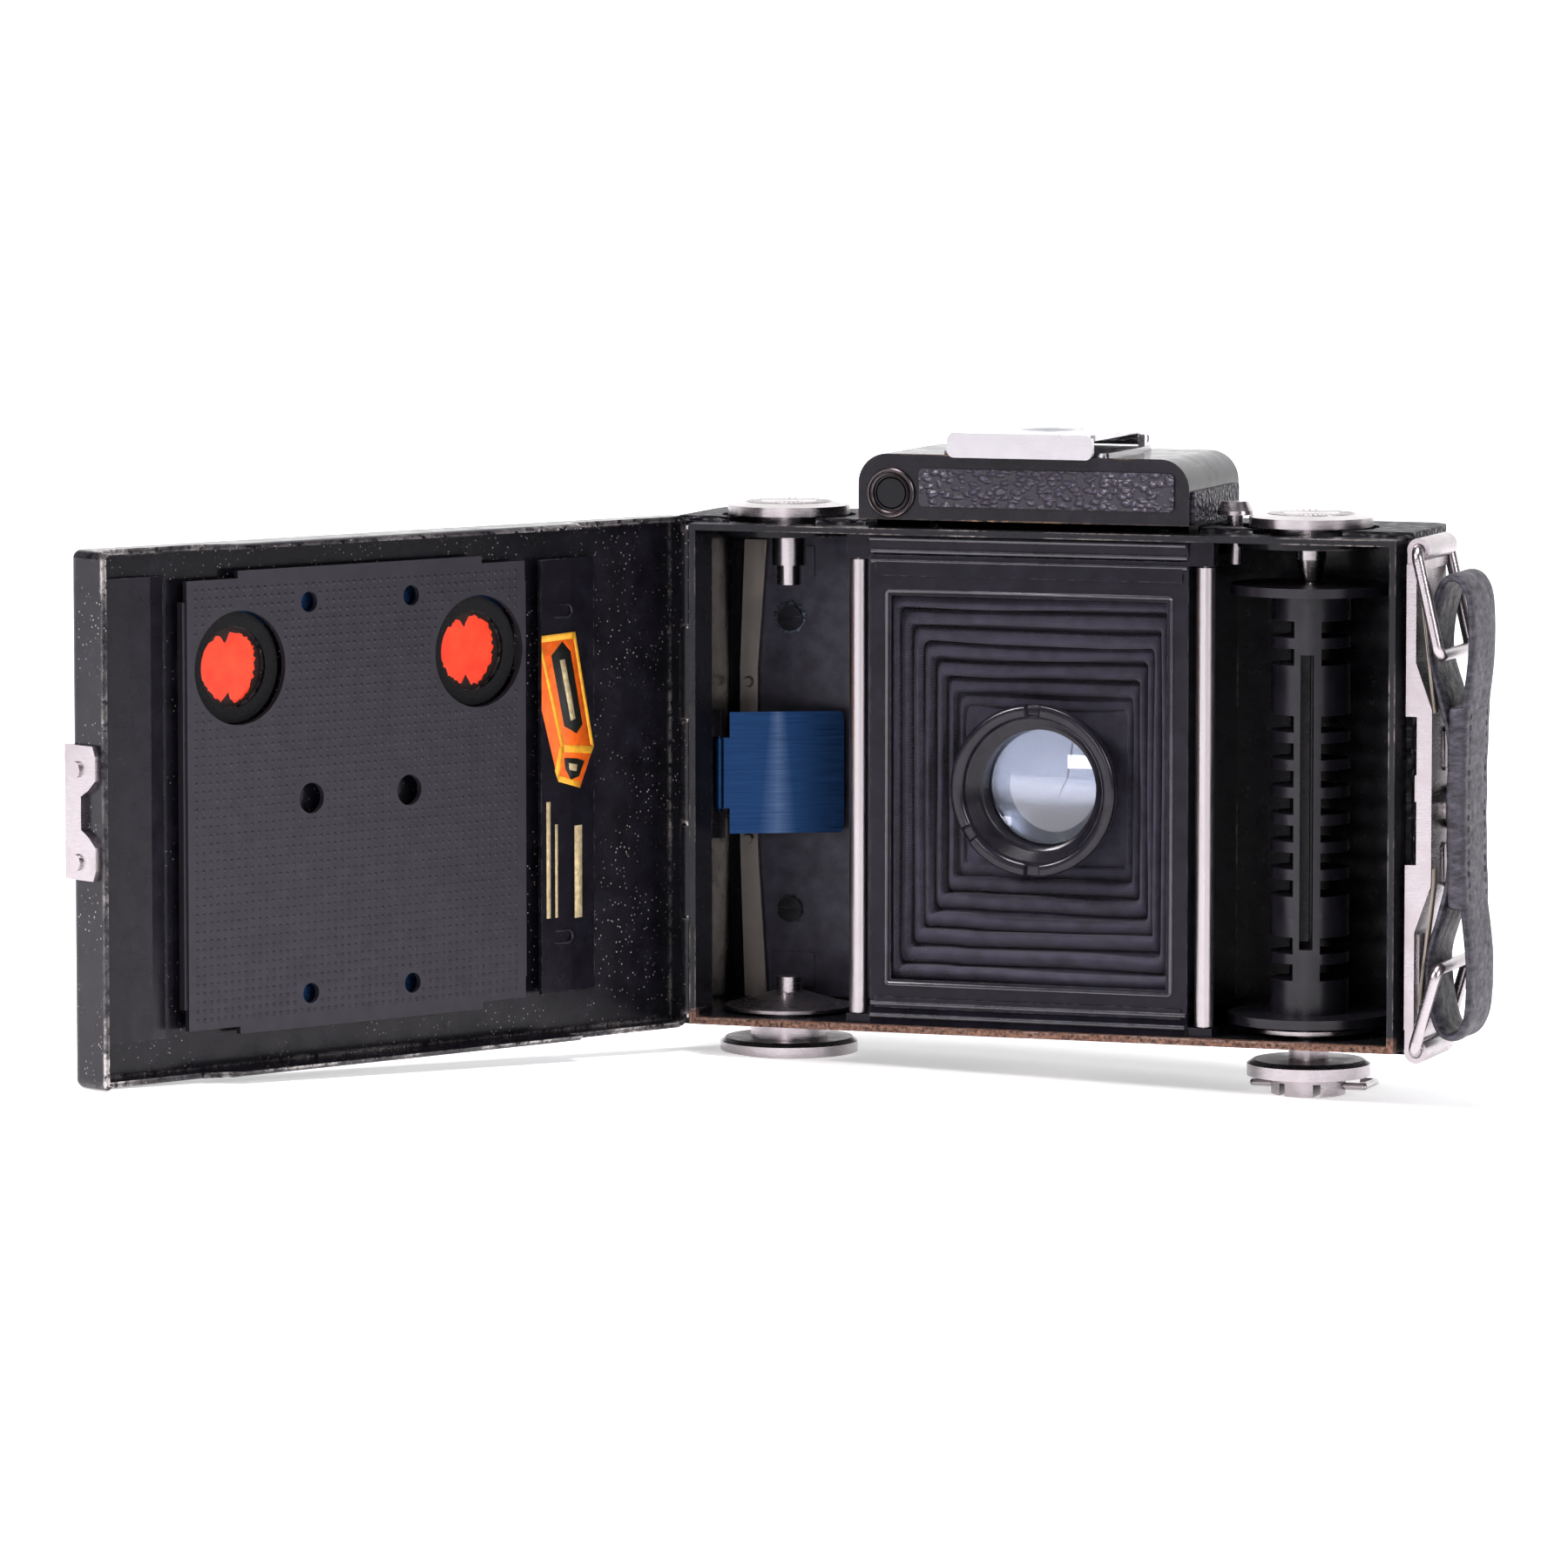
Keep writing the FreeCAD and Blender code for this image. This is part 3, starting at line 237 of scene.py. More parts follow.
def satin_black(name, colour=(0.012, 0.012, 0.015), roughness=0.3, wear=0.25, bare=(0.3, 0.29, 0.28),
                shine=0.4):
    s = Shader(name, colour, roughness, Specular_IOR_Level=shine)
    chips = s.math("MULTIPLY", s.edge_mask(0.3), s.ramp(s.noise(0.5, 5, 0.65), 0.46, 0.62), clamp=True)
    mask = s.math("MULTIPLY", chips, wear, clamp=True)
    s.colour(s.mix(mask, s.mix(s.ramp(s.noise(0.3), 0.35, 0.7), shade(colour, 0.8), shade(colour, 1.4)), bare))
    s.drive("Roughness", s.ramp(s.noise(0.4, 4), 0.3, 0.7, roughness * 0.85, roughness * 1.2))
    s.bump(s.noise(3, 3), 0.006)
    return s.material


def pebbled_leather(name, cell=1.3, depth=0.3, colour=(0.013, 0.012, 0.017), roughness=0.24):
    """Leathercloth embossed with flattened pebbles and creases between them."""
    s = Shader(name, colour, roughness, Specular_IOR_Level=0.45)
    wander = s.node("VectorMath", operation="ADD")
    jitter = s.node("TexNoise")
    flat = s.stretched((0.72, 1.0, 1.25))
    s.link(flat, jitter.inputs["Vector"])
    s.set(jitter, "Scale", 0.8)
    s.link(flat, wander.inputs[0])
    s.link(jitter.outputs["Color"], wander.inputs[1])
    pebbles = s.cells(1 / cell, wander.outputs[0])
    dome = s.ramp(pebbles, 0.1, 0.62, 1.0, 0.0)
    # Painted shade and highlight: the creases between pebbles are darkened and the pebble tops lightened.
    s.colour(s.mix(dome, shade(colour, 0.4), shade(colour, 1.5)))
    s.drive("Roughness", s.ramp(dome, 0, 1, min(1, roughness * 2.2), roughness))
    s.bump(s.noise(5, 4), 0.02)
    s.bump(dome, depth)
    return s.material


def strap_leather(name):
    s = Shader(name, (0.028, 0.031, 0.038), 0.48, Specular_IOR_Level=0.45)
    grain = s.cells(2.2, s.stretched((1, 1, 0.7)), "SMOOTH_F1")
    creases = s.noise(0.5, 5, 0.6, s.stretched((1, 1, 2.6)))
    # Painted shade: the colour is darker down the creases and lighter on the raised leather.
    s.colour(s.mix(s.ramp(creases, 0.35, 0.7), (0.016, 0.016, 0.021), (0.085, 0.08, 0.1)))
    s.drive("Roughness", s.ramp(s.noise(0.6, 4), 0.3, 0.7, 0.38, 0.6))
    s.bump(grain, 0.07)
    s.bump(creases, 0.14)
    return s.material


def nickel(name, colour=(0.6, 0.565, 0.5), roughness=0.24, brushed=(0.3, 0.3, 14), marks=0.02, tarnish=0.3):
    """Plated metal with a fine brushed grain, handling marks and a warm tarnish in patches."""
    s = Shader(name, colour, roughness, 1.0)
    grain = s.noise(1.0, 3, 0.6, s.stretched(brushed))
    stains = s.ramp(s.noise(0.16, 4, 0.6), 0.45, 0.75)
    dull = tuple(c * k for c, k in zip(colour, (0.7, 0.64, 0.55)))
    s.colour(s.mix(s.math("MULTIPLY", stains, tarnish), s.mix(grain, shade(colour, 0.94), colour), dull))
    s.drive("Roughness", s.math("ADD", s.ramp(grain, 0.3, 0.7, roughness * 0.88, roughness * 1.15),
                                s.math("MULTIPLY", stains, 0.1)))
    s.bump(grain, marks * 0.35)
    return s.material


def blued_leaf(name):
    """Blued spring steel: cobalt, lightly scratched along, with a painted highlight down its bowed middle."""
    s = Shader(name, (0.01, 0.07, 0.2), 0.34, 0.8)
    split = s.node("SeparateXYZ")
    s.link(s.mm, split.inputs[0])
    # A pale painted highlight runs down the bowed middle of the leaf.
    centre = s.math("ABSOLUTE", s.math("ADD", split.outputs[0], 46.2))
    spread = s.ramp(split.outputs[2], 28, 46, 2.6, 1.2)
    highlight_streak = s.math("SUBTRACT", 1.0, s.math("DIVIDE", centre, spread), clamp=True)
    scratch = s.noise(1.0, 5, 0.7, s.stretched((0.12, 0.12, 5)))
    tone = s.mix(s.ramp(scratch, 0.32, 0.7), (0.01, 0.042, 0.12), (0.024, 0.085, 0.22))
    s.colour(s.mix(s.math("MULTIPLY", highlight_streak, s.ramp(scratch, 0.3, 0.75, 0.15, 0.55)), tone,
                   (0.25, 0.34, 0.5)))
    s.drive("Roughness", s.ramp(scratch, 0.3, 0.7, 0.26, 0.42))
    s.bump(scratch, 0.01)
    return s.material


def weave(name, colour, pitch_mm, depth=0.06, roughness=0.8, directions=("X", "Z")):
    """A plain woven cloth: two crossed sets of threads, uneven in tone."""
    s = Shader(name, colour, roughness, Sheen_Weight=0.12, Sheen_Roughness=0.5)
    step = 1 / pitch_mm / 3.1
    across = s.wave(step, directions[0], 0.6)
    along = s.wave(step, directions[1], 0.6)
    threads = s.math("MAXIMUM", across, along)
    dips = s.math("MULTIPLY", across, along)
    tone = s.mix(s.ramp(s.noise(0.4, 4), 0.3, 0.7), shade(colour, 0.7), shade(colour, 1.45))
    # Painted shade: the dips where the threads cross are darkened.
    s.colour(s.mix(s.math("MULTIPLY", dips, 0.55), tone, shade(colour, 0.35)))
    s.bump(s.math("SUBTRACT", threads, dips), depth)
    s.bump(s.noise(1.2, 4), 0.05)
    return s.material


def plain(name, colour, roughness=0.5, metallic=0.0, grain=3.0, depth=0.02, spread=0.25, **sockets):
    """A painted, moulded or printed surface with slight unevenness in tone and gloss."""
    s = Shader(name, colour, roughness, metallic, **sockets)
    s.colour(s.mix(s.ramp(s.noise(grain * 0.3, 4), 0.3, 0.7), tuple(c * (1 - spread) for c in colour),
                   tuple(min(1, c * (1 + spread)) for c in colour)))
    s.drive("Roughness", s.ramp(s.noise(grain * 0.5, 3), 0.3, 0.7, roughness * 0.85, min(1, roughness * 1.2)))
    s.bump(s.noise(grain, 3), depth)
    return s.material


def optical_glass(name, tint=(0.9, 0.94, 1.0)):
    s = Shader(name, tint, 0.02, IOR=1.6, Transmission_Weight=0.9, Coat_Weight=0.6, Coat_Roughness=0.02)
    s.drive("Roughness", s.ramp(s.noise(0.4, 2), 0.3, 0.8, 0.015, 0.05))
    s.bump(s.noise(0.8, 2), 0.0015)
    return s.material


def red_celluloid(name):
    # The emission is painted light: the red panes glow as if lit from behind.
    s = Shader(name, (0.85, 0.07, 0.015), 0.3, Emission_Color=(1.0, 0.06, 0.01, 1), Emission_Strength=0.2,
               Coat_Weight=0.3)
    s.colour(s.mix(s.ramp(s.noise(0.35, 4), 0.3, 0.7), (0.72, 0.035, 0.008), (0.9, 0.075, 0.018)))
    s.bump(s.noise(0.9, 3), 0.03)
    return s.material


DOOR_CORNERS = [(tuple(door_placement() @ (Vector(at) * MM) / MM), reach)
                for at, reach in (((58.0, -9, 76.8), 8), ((58.0, -14.5, 76.8), 7), ((58.0, -9, -0.8), 7),
                                  ((58.0, -14.5, -0.8), 9), ((-30.0, -9, 76.8), 16))]
MATERIALS = {
    "enamel": enamel("black_enamel"),
    "enamel_door": enamel("door_enamel", wear=1.1, bare=(0.6, 0.57, 0.55), dust=0.75, corners=DOOR_CORNERS,
                          edge_mm=1.1),
    "enamel_housing": enamel("housing_enamel", wear=0.8, bare=(0.42, 0.28, 0.17)),
    "shell": rusty_enamel("body_enamel"),
    "gate": satin_black("gate_black", (0.009, 0.008, 0.013), 0.17, 0.16, shine=0.22),
    "trim": satin_black("trim_black", (0.012, 0.011, 0.016), 0.24),
    "spool": satin_black("spool_plastic", (0.011, 0.01, 0.014), 0.3, 0.02, shine=0.55),
    "leather": pebbled_leather("body_leathercloth"),
    # The housing leathercloth is a lighter copy of the body leathercloth: painted light for the fill light on
    # the housing top.
    "leather_fine_lit": pebbled_leather("housing_leathercloth", 1.05, 0.8, (0.08, 0.074, 0.096), 0.2),
    "strap": strap_leather("strap_leather"),
    "nickel": nickel("nickel_plate", (0.5, 0.465, 0.48), 0.27, (0.3, 0.3, 14), 0.03, 0.25),
    "nickel_round": nickel("nickel_turned", (0.54, 0.51, 0.52), 0.22, (0.4, 0.4, 9), 0.02, 0.25),
    "roller": nickel("roller_steel", (0.5, 0.47, 0.48), 0.3, (2, 2, 0.05), 0.002, 0.05),
    "nickel_bright": nickel("nickel_bright", (0.66, 0.65, 0.67), 0.2, (0.3, 0.3, 6), 0.008, 0.12),
    "steel": nickel("grey_steel", (0.5, 0.46, 0.42), 0.34, (8, 8, 0.3), 0.02, 0.3),
    "blued": blued_leaf("blued_steel"),
    "plate": plain("plate_paint", (0.04, 0.038, 0.047), 0.4, 0.25, 1.2, 0.006, 0.12, Specular_IOR_Level=0.55),
    "blade": nickel("blade_steel", (0.3, 0.33, 0.4), 0.16, (7, 0.3, 7), 0.01, 0.1),
    "cloth": weave("bellows_cloth", (0.036, 0.033, 0.052), 0.42, 0.09),
    "glass": optical_glass("optical_glass"),
    "dark_glass": plain("finder_glass", (0.004, 0.004, 0.006), 0.05, 0, 2, 0.002, 0.3,
                        Specular_IOR_Level=0.3),
    "red": red_celluloid("red_celluloid"),
    "felt": plain("felt_black", (0.008, 0.008, 0.009), 0.95, 0, 6, 0.12),
    "ring": satin_black("ring_black", (0.014, 0.013, 0.018), 0.22, 0.04, shine=0.45),
    "burnt": plain("burnt_edge", (0.02, 0.006, 0.004), 0.6, 0, 5, 0.05, 0.5),
    "ink": plain("printed_ink", (0.012, 0.014, 0.012), 0.5, 0, 3, 0.02, 0.3),
    "eye_ring": nickel("eye_ring_black", (0.1, 0.088, 0.092), 0.28, (1, 1, 1), 0.02, 0.7),
    "nickel_dark": nickel("nickel_shadowed", (0.34, 0.31, 0.27), 0.34, (0.3, 0.3, 10), 0.02, 0.5),
    "bead": satin_black("bead_black", (0.03, 0.03, 0.036), 0.16, 0.05, shine=1.0),
    "lining": plain("chamber_paint", (0.06, 0.057, 0.078), 0.36, 0.15, 1.2, 0.012, 0.3,
                    Specular_IOR_Level=0.4),
    "scrape": plain("scraped_paint", (0.1, 0.13, 0.17), 0.45, 0.4, 4, 0.06, 0.6),
    "orange": plain("printed_orange", (0.9, 0.16, 0.01), 0.5, 0, 2.5, 0.02, 0.2),
    "yellow": plain("printed_yellow", (0.9, 0.46, 0.04), 0.5, 0, 2.5, 0.02, 0.2),
    "cream": plain("printed_cream", (0.55, 0.46, 0.27), 0.55, 0, 3.5, 0.02, 0.3),
    "thread": plain("waxed_thread", (0.02, 0.021, 0.024), 0.6, 0, 8, 0.04),
}


# ------------------------------------------------------------------ mesh helpers

def bevelled(obj, width_mm, segments=2, angle=32):
    """Rounds the sharp edges and keeps the flats flat."""
    bevel = obj.modifiers.new("Rounding", "BEVEL")
    bevel.width = width_mm * MM
    bevel.segments = segments
    bevel.limit_method = "ANGLE"
    bevel.angle_limit = math.radians(angle)
    bevel.use_clamp_overlap = True
    bevel.harden_normals = True
    return obj


def smooth(obj, angle=35):
    mesh = obj.data
    mesh.polygons.foreach_set("use_smooth", [True] * len(mesh.polygons))
    mesh.set_sharp_from_angle(angle=math.radians(angle))
    mesh.update()


def dress(node, key, width_mm=0.15):
    """Gives a CAD node its material and slightly rounded edges."""
    obj = NODES[node]
    obj.data.materials.clear()
    obj.data.materials.append(MATERIALS[key])
    smooth(obj)
    if width_mm:
        bevelled(obj, width_mm)
    return obj


def piece(name, mesh, key, body, replaces=(), placement=None):
    """Puts a finished mesh or bmesh in the scene on its CAD body."""
    if isinstance(mesh, bmesh.types.BMesh):
        mesh = from_bmesh(mesh, name)
    obj = bpy.data.objects.new(name, mesh)
    bpy.context.scene.collection.objects.link(obj)
    mesh.materials.append(MATERIALS[key])
    if placement is not None:
        mesh.transform(placement)
    smooth(obj)
    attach(obj, body)
    if replaces:
        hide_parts(*replaces)
    return obj


def from_bmesh(bm, name):
    bmesh.ops.recalc_face_normals(bm, faces=bm.faces)
    mesh = bpy.data.meshes.new(name)
    bm.to_mesh(mesh)
    bm.free()
    return mesh


def lathe_mesh(name, profile_mm, segments=96, shape=None):
    """Turns a closed (radius, height) outline about Z. shape(angle, radius, height) may move a point."""
    bm = bmesh.new()
    rings = []
    for radius, height in profile_mm:
        if radius < 1e-6:
            rings.append([bm.verts.new((0, 0, height * MM))])
            continue
        ring = []
        for i in range(segments):
            angle = 2 * math.pi * i / segments
            r, h = shape(angle, radius, height) if shape else (radius, height)
            ring.append(bm.verts.new((r * math.cos(angle) * MM, r * math.sin(angle) * MM, h * MM)))
        rings.append(ring)
    for a, b in zip(rings, rings[1:] + rings[:1]):
        if len(a) == 1 and len(b) == 1:
            continue
        for i in range(segments):
            j = (i + 1) % segments
            corners = [a[i % len(a)], a[j % len(a)], b[j % len(b)], b[i % len(b)]]
            bm.faces.new(list(dict.fromkeys(corners)))
    return from_bmesh(bm, name)


def axis_placement(centre_mm, axis="z"):
    """Turns a mesh made about Z to another axis and moves it to its centre."""
    turns = {"z": Matrix(), "y": Matrix.Rotation(-math.pi / 2, 4, "X"),
             "x": Matrix.Rotation(math.pi / 2, 4, "Y"),
             "-y": Matrix.Rotation(math.pi / 2, 4, "X"), "-z": Matrix.Rotation(math.pi, 4, "X")}
    return Matrix.Translation(Vector(centre_mm) * MM) @ turns[axis]


def rounded_plate(bm, x0, x1, z0, z1, y_front, y_back, radius=0.0, steps=5):
    """A flat plate in the XZ plane with rounded corners, in millimetres."""
    outline = []
    corners = ((x1, z1, 0), (x0, z1, 90), (x0, z0, 180), (x1, z0, 270))
    for cx, cz, start in corners:
        ix = cx - math.copysign(radius, cx - (x0 + x1) / 2)
        iz = cz - math.copysign(radius, cz - (z0 + z1) / 2)
        for k in range(steps + 1 if radius else 1):
            a = math.radians(start + 90 * k / steps)
            outline.append((ix + radius * math.cos(a), iz + radius * math.sin(a)))
    front = [bm.verts.new((x * MM, y_front * MM, z * MM)) for x, z in outline]
    back = [bm.verts.new((x * MM, y_back * MM, z * MM)) for x, z in outline]
    bm.faces.new(front)
    bm.faces.new(list(reversed(back)))
    count = len(outline)
    for i in range(count):
        j = (i + 1) % count
        bm.faces.new((front[i], back[i], back[j], front[j]))


# ------------------------------------------------------------------ CAD nodes that keep their shape

DRESSED = {
    "body_shell": ("shell", 0.25), "body_leather": ("leather", 0.3), "film_gate": ("gate", 0.3),
    "tripod_bush": ("nickel", 0.3), "guide_strip": ("steel", 0.08), "chamber_screws": ("trim", 0.12),
    "spring_bracket": ("trim", 0.15), "door_hinge_pin": ("nickel_round", 0.15),
    "rangefinder_housing": ("enamel_housing", 0.35), "housing_leather": ("leather_fine_lit", 0.15),
    "eyepiece_ring": ("nickel_round", 0.12), "window_glasses": ("dark_glass", 0),
    "finder_base": ("nickel_bright", 0.1),
    "side_plate": ("nickel", 0.25), "bed_hinge_pin": ("nickel_round", 0.1), "back_door": ("enamel_door", 0.2),
    "back_door_leather": ("leather", 0.25), "red_windows": ("red", 0.05), "film_guide_sheet": ("trim", 0.1),
    "end_guide_sheet": ("trim", 0.1), "plate_springs": ("blued", 0.05), "door_catch": ("nickel", 0.12),
    "pressure_plate": ("plate", 0.12), "take_up_spool": ("spool", 0), "winding_key": ("nickel", 0.2),
    "drive_disc": ("nickel_round", 0.12), "key_wing": ("nickel_round", 0.1),
    "lower_left_pivot": ("nickel", 0.2),
    "top_left_knob": ("nickel_round", 0.25), "top_right_knob": ("nickel_round", 0.25),
    "roller_left": ("roller", 0.08), "roller_right": ("roller", 0.08), "film_spring": ("blued", 0.06),
    "latch_button": ("nickel_round", 0.2), "latch_hook": ("nickel", 0.1),
    "bed_release_button": ("nickel_round", 0.2),
    "hand_strap": ("strap", 0.3), "strap_ring_top": ("nickel", 0), "strap_ring_bottom": ("nickel", 0),
    "front_finder_frame": ("nickel_bright", 0.15), "finder_lens": ("glass", 0.1),
    "rear_finder_frame": ("nickel_bright", 0.1), "lens_bed": ("enamel", 0.2),
    "lens_bed_leather": ("leather", 0.3),
    "strut_left": ("nickel", 0.1), "strut_right": ("nickel", 0.1), "lens_standard": ("trim", 0.15),
    "lens_retaining_ring": ("trim", 0.1), "rear_lens": ("glass", 0.1), "shutter_case": ("enamel", 0.2),
    "focus_ring": ("nickel_round", 0.15), "front_lens_cell": ("enamel", 0.15), "front_lens": ("glass", 0.1),
    "cocking_lever": ("nickel", 0.08), "bellows": ("cloth", 0),
}
for node, (key, width_mm) in DRESSED.items():
    dress(node, key, width_mm)
for node in NODES:
    if node not in DRESSED:
        dress(node, "blade", 0)


# ------------------------------------------------------------------ bellows, lens and gate

LENS_Z = 36.9


def loop_points(half_w, half_h, radius, per_side=26, per_corner=4):
    """A rounded rectangle in the XZ plane: (x, z, side, position along the side from -1 to 1)."""
    points = []
    sides = (("top", half_w, 1), ("right", half_h, 1), ("bottom", half_w, -1), ("left", half_h, -1))
    for index, (side, half, _) in enumerate(sides):
        for i in range(per_side):
            t = -1 + 2 * i / (per_side - 1)
            along = t * (half - radius)
            x, z = {"top": (along, half_h), "right": (half_w, -along), "bottom": (-along, -half_h),
                    "left": (-half_w, along)}[side]
            points.append((x, z, side, t))
        cx = (half_w - radius) * (1 if index in (0, 1) else -1)
        cz = (half_h - radius) * (1 if index in (0, 3) else -1)
        start = math.radians(90 - 90 * index)
        for k in range(1, per_corner):
            a = start - math.pi / 2 * k / per_corner
            points.append((cx + radius * math.cos(a), cz + radius * math.sin(a), "corner", 0.0))
    return points


def bellows():
    """Seven pleats of black cloth nested towards the lens, each a soft band with a tucked inner edge."""
    count = 7
    bm = bmesh.new()
    loops = []
    for i in range(count):
        uneven = 0.22 * math.sin(2.3 * i + 0.6)
        outer_w, outer_h, y0 = 22.6 - 1.45 * i + 0.5 * uneven, 29.4 - 2.6 * i + uneven, -10.5 + 1.15 * i
        profile = ((0.02, 2.3), (0.03, 1.5), (0.08, 0.95), (0.2, 0.5), (0.4, 0.14), (0.58, 0.0), (0.71, 0.1),
                   (0.79, 0.42), (0.825, 0.95), (0.81, 1.6), (0.8, 2.3))
        phase = 1.7 * i
        for s, dy in profile:
            points = []
            for x, z, side, t in loop_points(outer_w - 1.45 * s, outer_h - 2.6 * s, 0.9):
                sag = 0.17 * math.sin(2.2 * t + phase) + 0.06 * math.sin(5.1 * t + 2 * phase)
                y = y0 + dy + 0.05 * math.sin(3.3 * t + 1.3 * phase)
                if side == "top":
                    z += sag - 0.22 * (1 - t * t)
                elif side == "bottom":
                    z += sag
                    if x < -5.5 - 1.15 * (count - i):
                        y -= 0.16
                        z += 0.2
                elif side in ("left", "right"):
                    x += 0.5 * sag
                points.append(bm.verts.new((x * MM, y * MM, (z + LENS_Z) * MM)))
            loops.append(points)
    for a, b in zip(loops, loops[1:]):
        for i in range(len(a)):
            j = (i + 1) % len(a)
            bm.faces.new((a[i], a[j], b[j], b[i]))
    mesh = from_bmesh(bm, "bellows_pleats")
    obj = bpy.data.objects.new("bellows_pleats", mesh)
    bpy.context.scene.collection.objects.link(obj)
    mesh.materials.append(MATERIALS["cloth"])
    thick = obj.modifiers.new("Cloth", "SOLIDIFY")
    thick.thickness = 0.22 * MM
    thick.offset = 0
    soft = obj.modifiers.new("Soft", "SUBSURF")
    soft.levels = soft.render_levels = 1
    smooth(obj, 80)
    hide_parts("bellows")
    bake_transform(obj)


def bellows_board():
    """The stiff cloth-covered panel that the retaining ring clamps."""
    bm = bmesh.new()
    half = 14.2
    steps = 20
    grid = [[None] * (steps + 1) for _ in range(steps + 1)]
    for i in range(steps + 1):
        for j in range(steps + 1):
            x, z = half * (2 * i / steps - 1), half * (2 * j / steps - 1)
            lift = 0.25 * math.sin(1.1 * x) * math.sin(0.9 * z) * 0.3
            grid[i][j] = bm.verts.new((x * MM, (-3.1 + lift) * MM, (LENS_Z + z) * MM))
    for i in range(steps):
        for j in range(steps):
            bm.faces.new((grid[i][j], grid[i + 1][j], grid[i + 1][j + 1], grid[i][j + 1]))
    axis = Vector((0, LENS_Z * MM))
    for face in [f for f in bm.faces if (f.calc_center_median().xz - axis).length < 10.6 * MM]:
        bm.faces.remove(face)
    obj = piece("bellows_board", bm, "cloth", "lens_unit")
    thick = obj.modifiers.new("Board", "SOLIDIFY")
    thick.thickness = 0.4 * MM


def rect_loop(x0, x1, z0, z1, y, radius, steps=4):
    """A rounded rectangle of points in the XZ plane."""
    points = []
    for cx, cz, start in ((x1 - radius, z1 - radius, 90), (x1 - radius, z0 + radius, 0),
                          (x0 + radius, z0 + radius, -90), (x0 + radius, z1 - radius, -180)):
        for k in range(steps + 1):
            a = math.radians(start - 90 * k / steps)
            points.append((cx + radius * math.cos(a), y, cz + radius * math.sin(a)))
    return points


def gate_mouldings():
    """The rolled beads round the gate opening and the rails above and below it."""
    beads = [rect_loop(-22.4, 22.4, 7.2, 66.6, -12.05, 0.5)]
    piece("gate_beads", tube_mesh("gate_beads", beads, 0.34, 10, True), "bead", "body")
    rails = [[(-24.8, y, z), (24.8, y, z)] for y, z in ((-11.98, 71.1), (-11.98, 72.6), (-12.75, 74.5),
                                                        (-12.1, 4.2), (-12.5, 2.4))]
    piece("gate_rails", tube_mesh("gate_rails", rails, 0.4, 12), "bead", "body")


def chamber_lining():
    """Grey-blue painted sheet along the supply chamber's front wall, with two raised pads."""
    bm = bmesh.new()
    rounded_plate(bm, -53.4, -25.3, 1.6, 74.8, 13.05, 13.2, 1.5)
    for z0, z1 in ((66.4, 71.2), (3.0, 8.4)):
        rounded_plate(bm, -49.5, -42.6, z0, z1, 12.8, 13.1, 0.3, 2)
    obj = piece("chamber_lining", bm, "lining", "body")
    bevelled(obj, 0.08)


def retaining_ring():
    """A black ring with a chamfered rim and a fine thread down its bore."""
    profile = [(8.95, -0.8), (8.95, 6.6)]
    for k in range(7):
        h = 6.7 + 0.4 * k
        r = 9.35 + 0.2 * k
        profile += [(r, h), (r + 0.22, h + 0.16), (r + 0.2, h + 0.3)]
    profile += [(10.95, 9.75), (11.15, 10.1), (11.45, 10.28), (12.45, 10.3), (12.8, 10.15), (13.0, 9.85),
                (13.0, 9.3), (12.85, 9.2), (13.0, 9.1), (13.0, 8.4), (12.9, 8.3), (10.4, 8.3), (10.4, -0.8)]

    def notched(angle, radius, height):
        for at in (math.radians(90), math.radians(270), math.radians(214)):
            gap = abs((angle - at + math.pi) % (2 * math.pi) - math.pi)
            if gap < 0.07 and height > 9.7 and radius > 11.2:
                return radius, height - 0.75
        return radius, height

    mesh = lathe_mesh("ring_rear", profile, 180, notched)
    piece("ring_rear", mesh, "ring", "lens_unit", ("lens_retaining_ring",),
          axis_placement((0, 0, LENS_Z), "-y"))


def rear_glass():
    """The rear element: a convex face towards the film, polished."""
    edge, bulge, flat = 8.7, 1.35, 1.7
    sphere = (edge ** 2 + bulge ** 2) / (2 * bulge)
    profile = [(0, flat), (edge, flat)]
    for k in range(13):
        r = edge * (1 - k / 12)
        profile.append((r, 2.85 + math.sqrt(sphere ** 2 - r ** 2) - (sphere - bulge)))
    mesh = lathe_mesh("rear_element", profile, 96)
    obj = piece("rear_element", mesh, "glass", "lens_unit", ("rear_lens",),
                axis_placement((0, 0, LENS_Z), "-y"))
    return obj


# ------------------------------------------------------------------ back door details

PLATE_FACE = -12.65
WINDOWS = ((29.76, 58.5), (-15.23, 58.5))


def plate_dots():
    """The embossed dot grid of the pressure plate, left out around its holes."""
    bm = bmesh.new()
    pitch = 1.28
    holes = [(x, z, 9.1) for x, z in WINDOWS] + [(16.6, 38.6, 3), (-1.8, 38.6, 3)]
    holes += [(x, z, 2.3) for x in (16.9, -2.3) for z in (9.8, 67.5)]
    columns, rows = int(62 / pitch), int(64.3 / pitch)
    for i in range(columns):
        for j in range(rows):
            x = -22.9 + pitch * (i + 0.5)
            z = 6.7 + pitch * (j + 0.5)
            if any(math.hypot(x - hx, z - hz) < r for hx, hz, r in holes):
                continue
            size = 0.34 + 0.03 * rng.random()
            turns = [math.pi / 3 * k for k in range(6)]
            base = [bm.verts.new(((x + size * math.cos(a)) * MM, (PLATE_FACE - 0.01) * MM,
                                  (z + size * math.sin(a)) * MM)) for a in turns]
            top = [bm.verts.new(((x + 0.5 * size * math.cos(a)) * MM, (PLATE_FACE + 0.11) * MM,
                                 (z + 0.5 * size * math.sin(a)) * MM)) for a in turns]
            bm.faces.new(top)
            for k in range(6):
                bm.faces.new((base[k], base[(k + 1) % 6], top[(k + 1) % 6], top[k]))
    piece("plate_dots", bm, "plate", "plate", placement=door_placement())


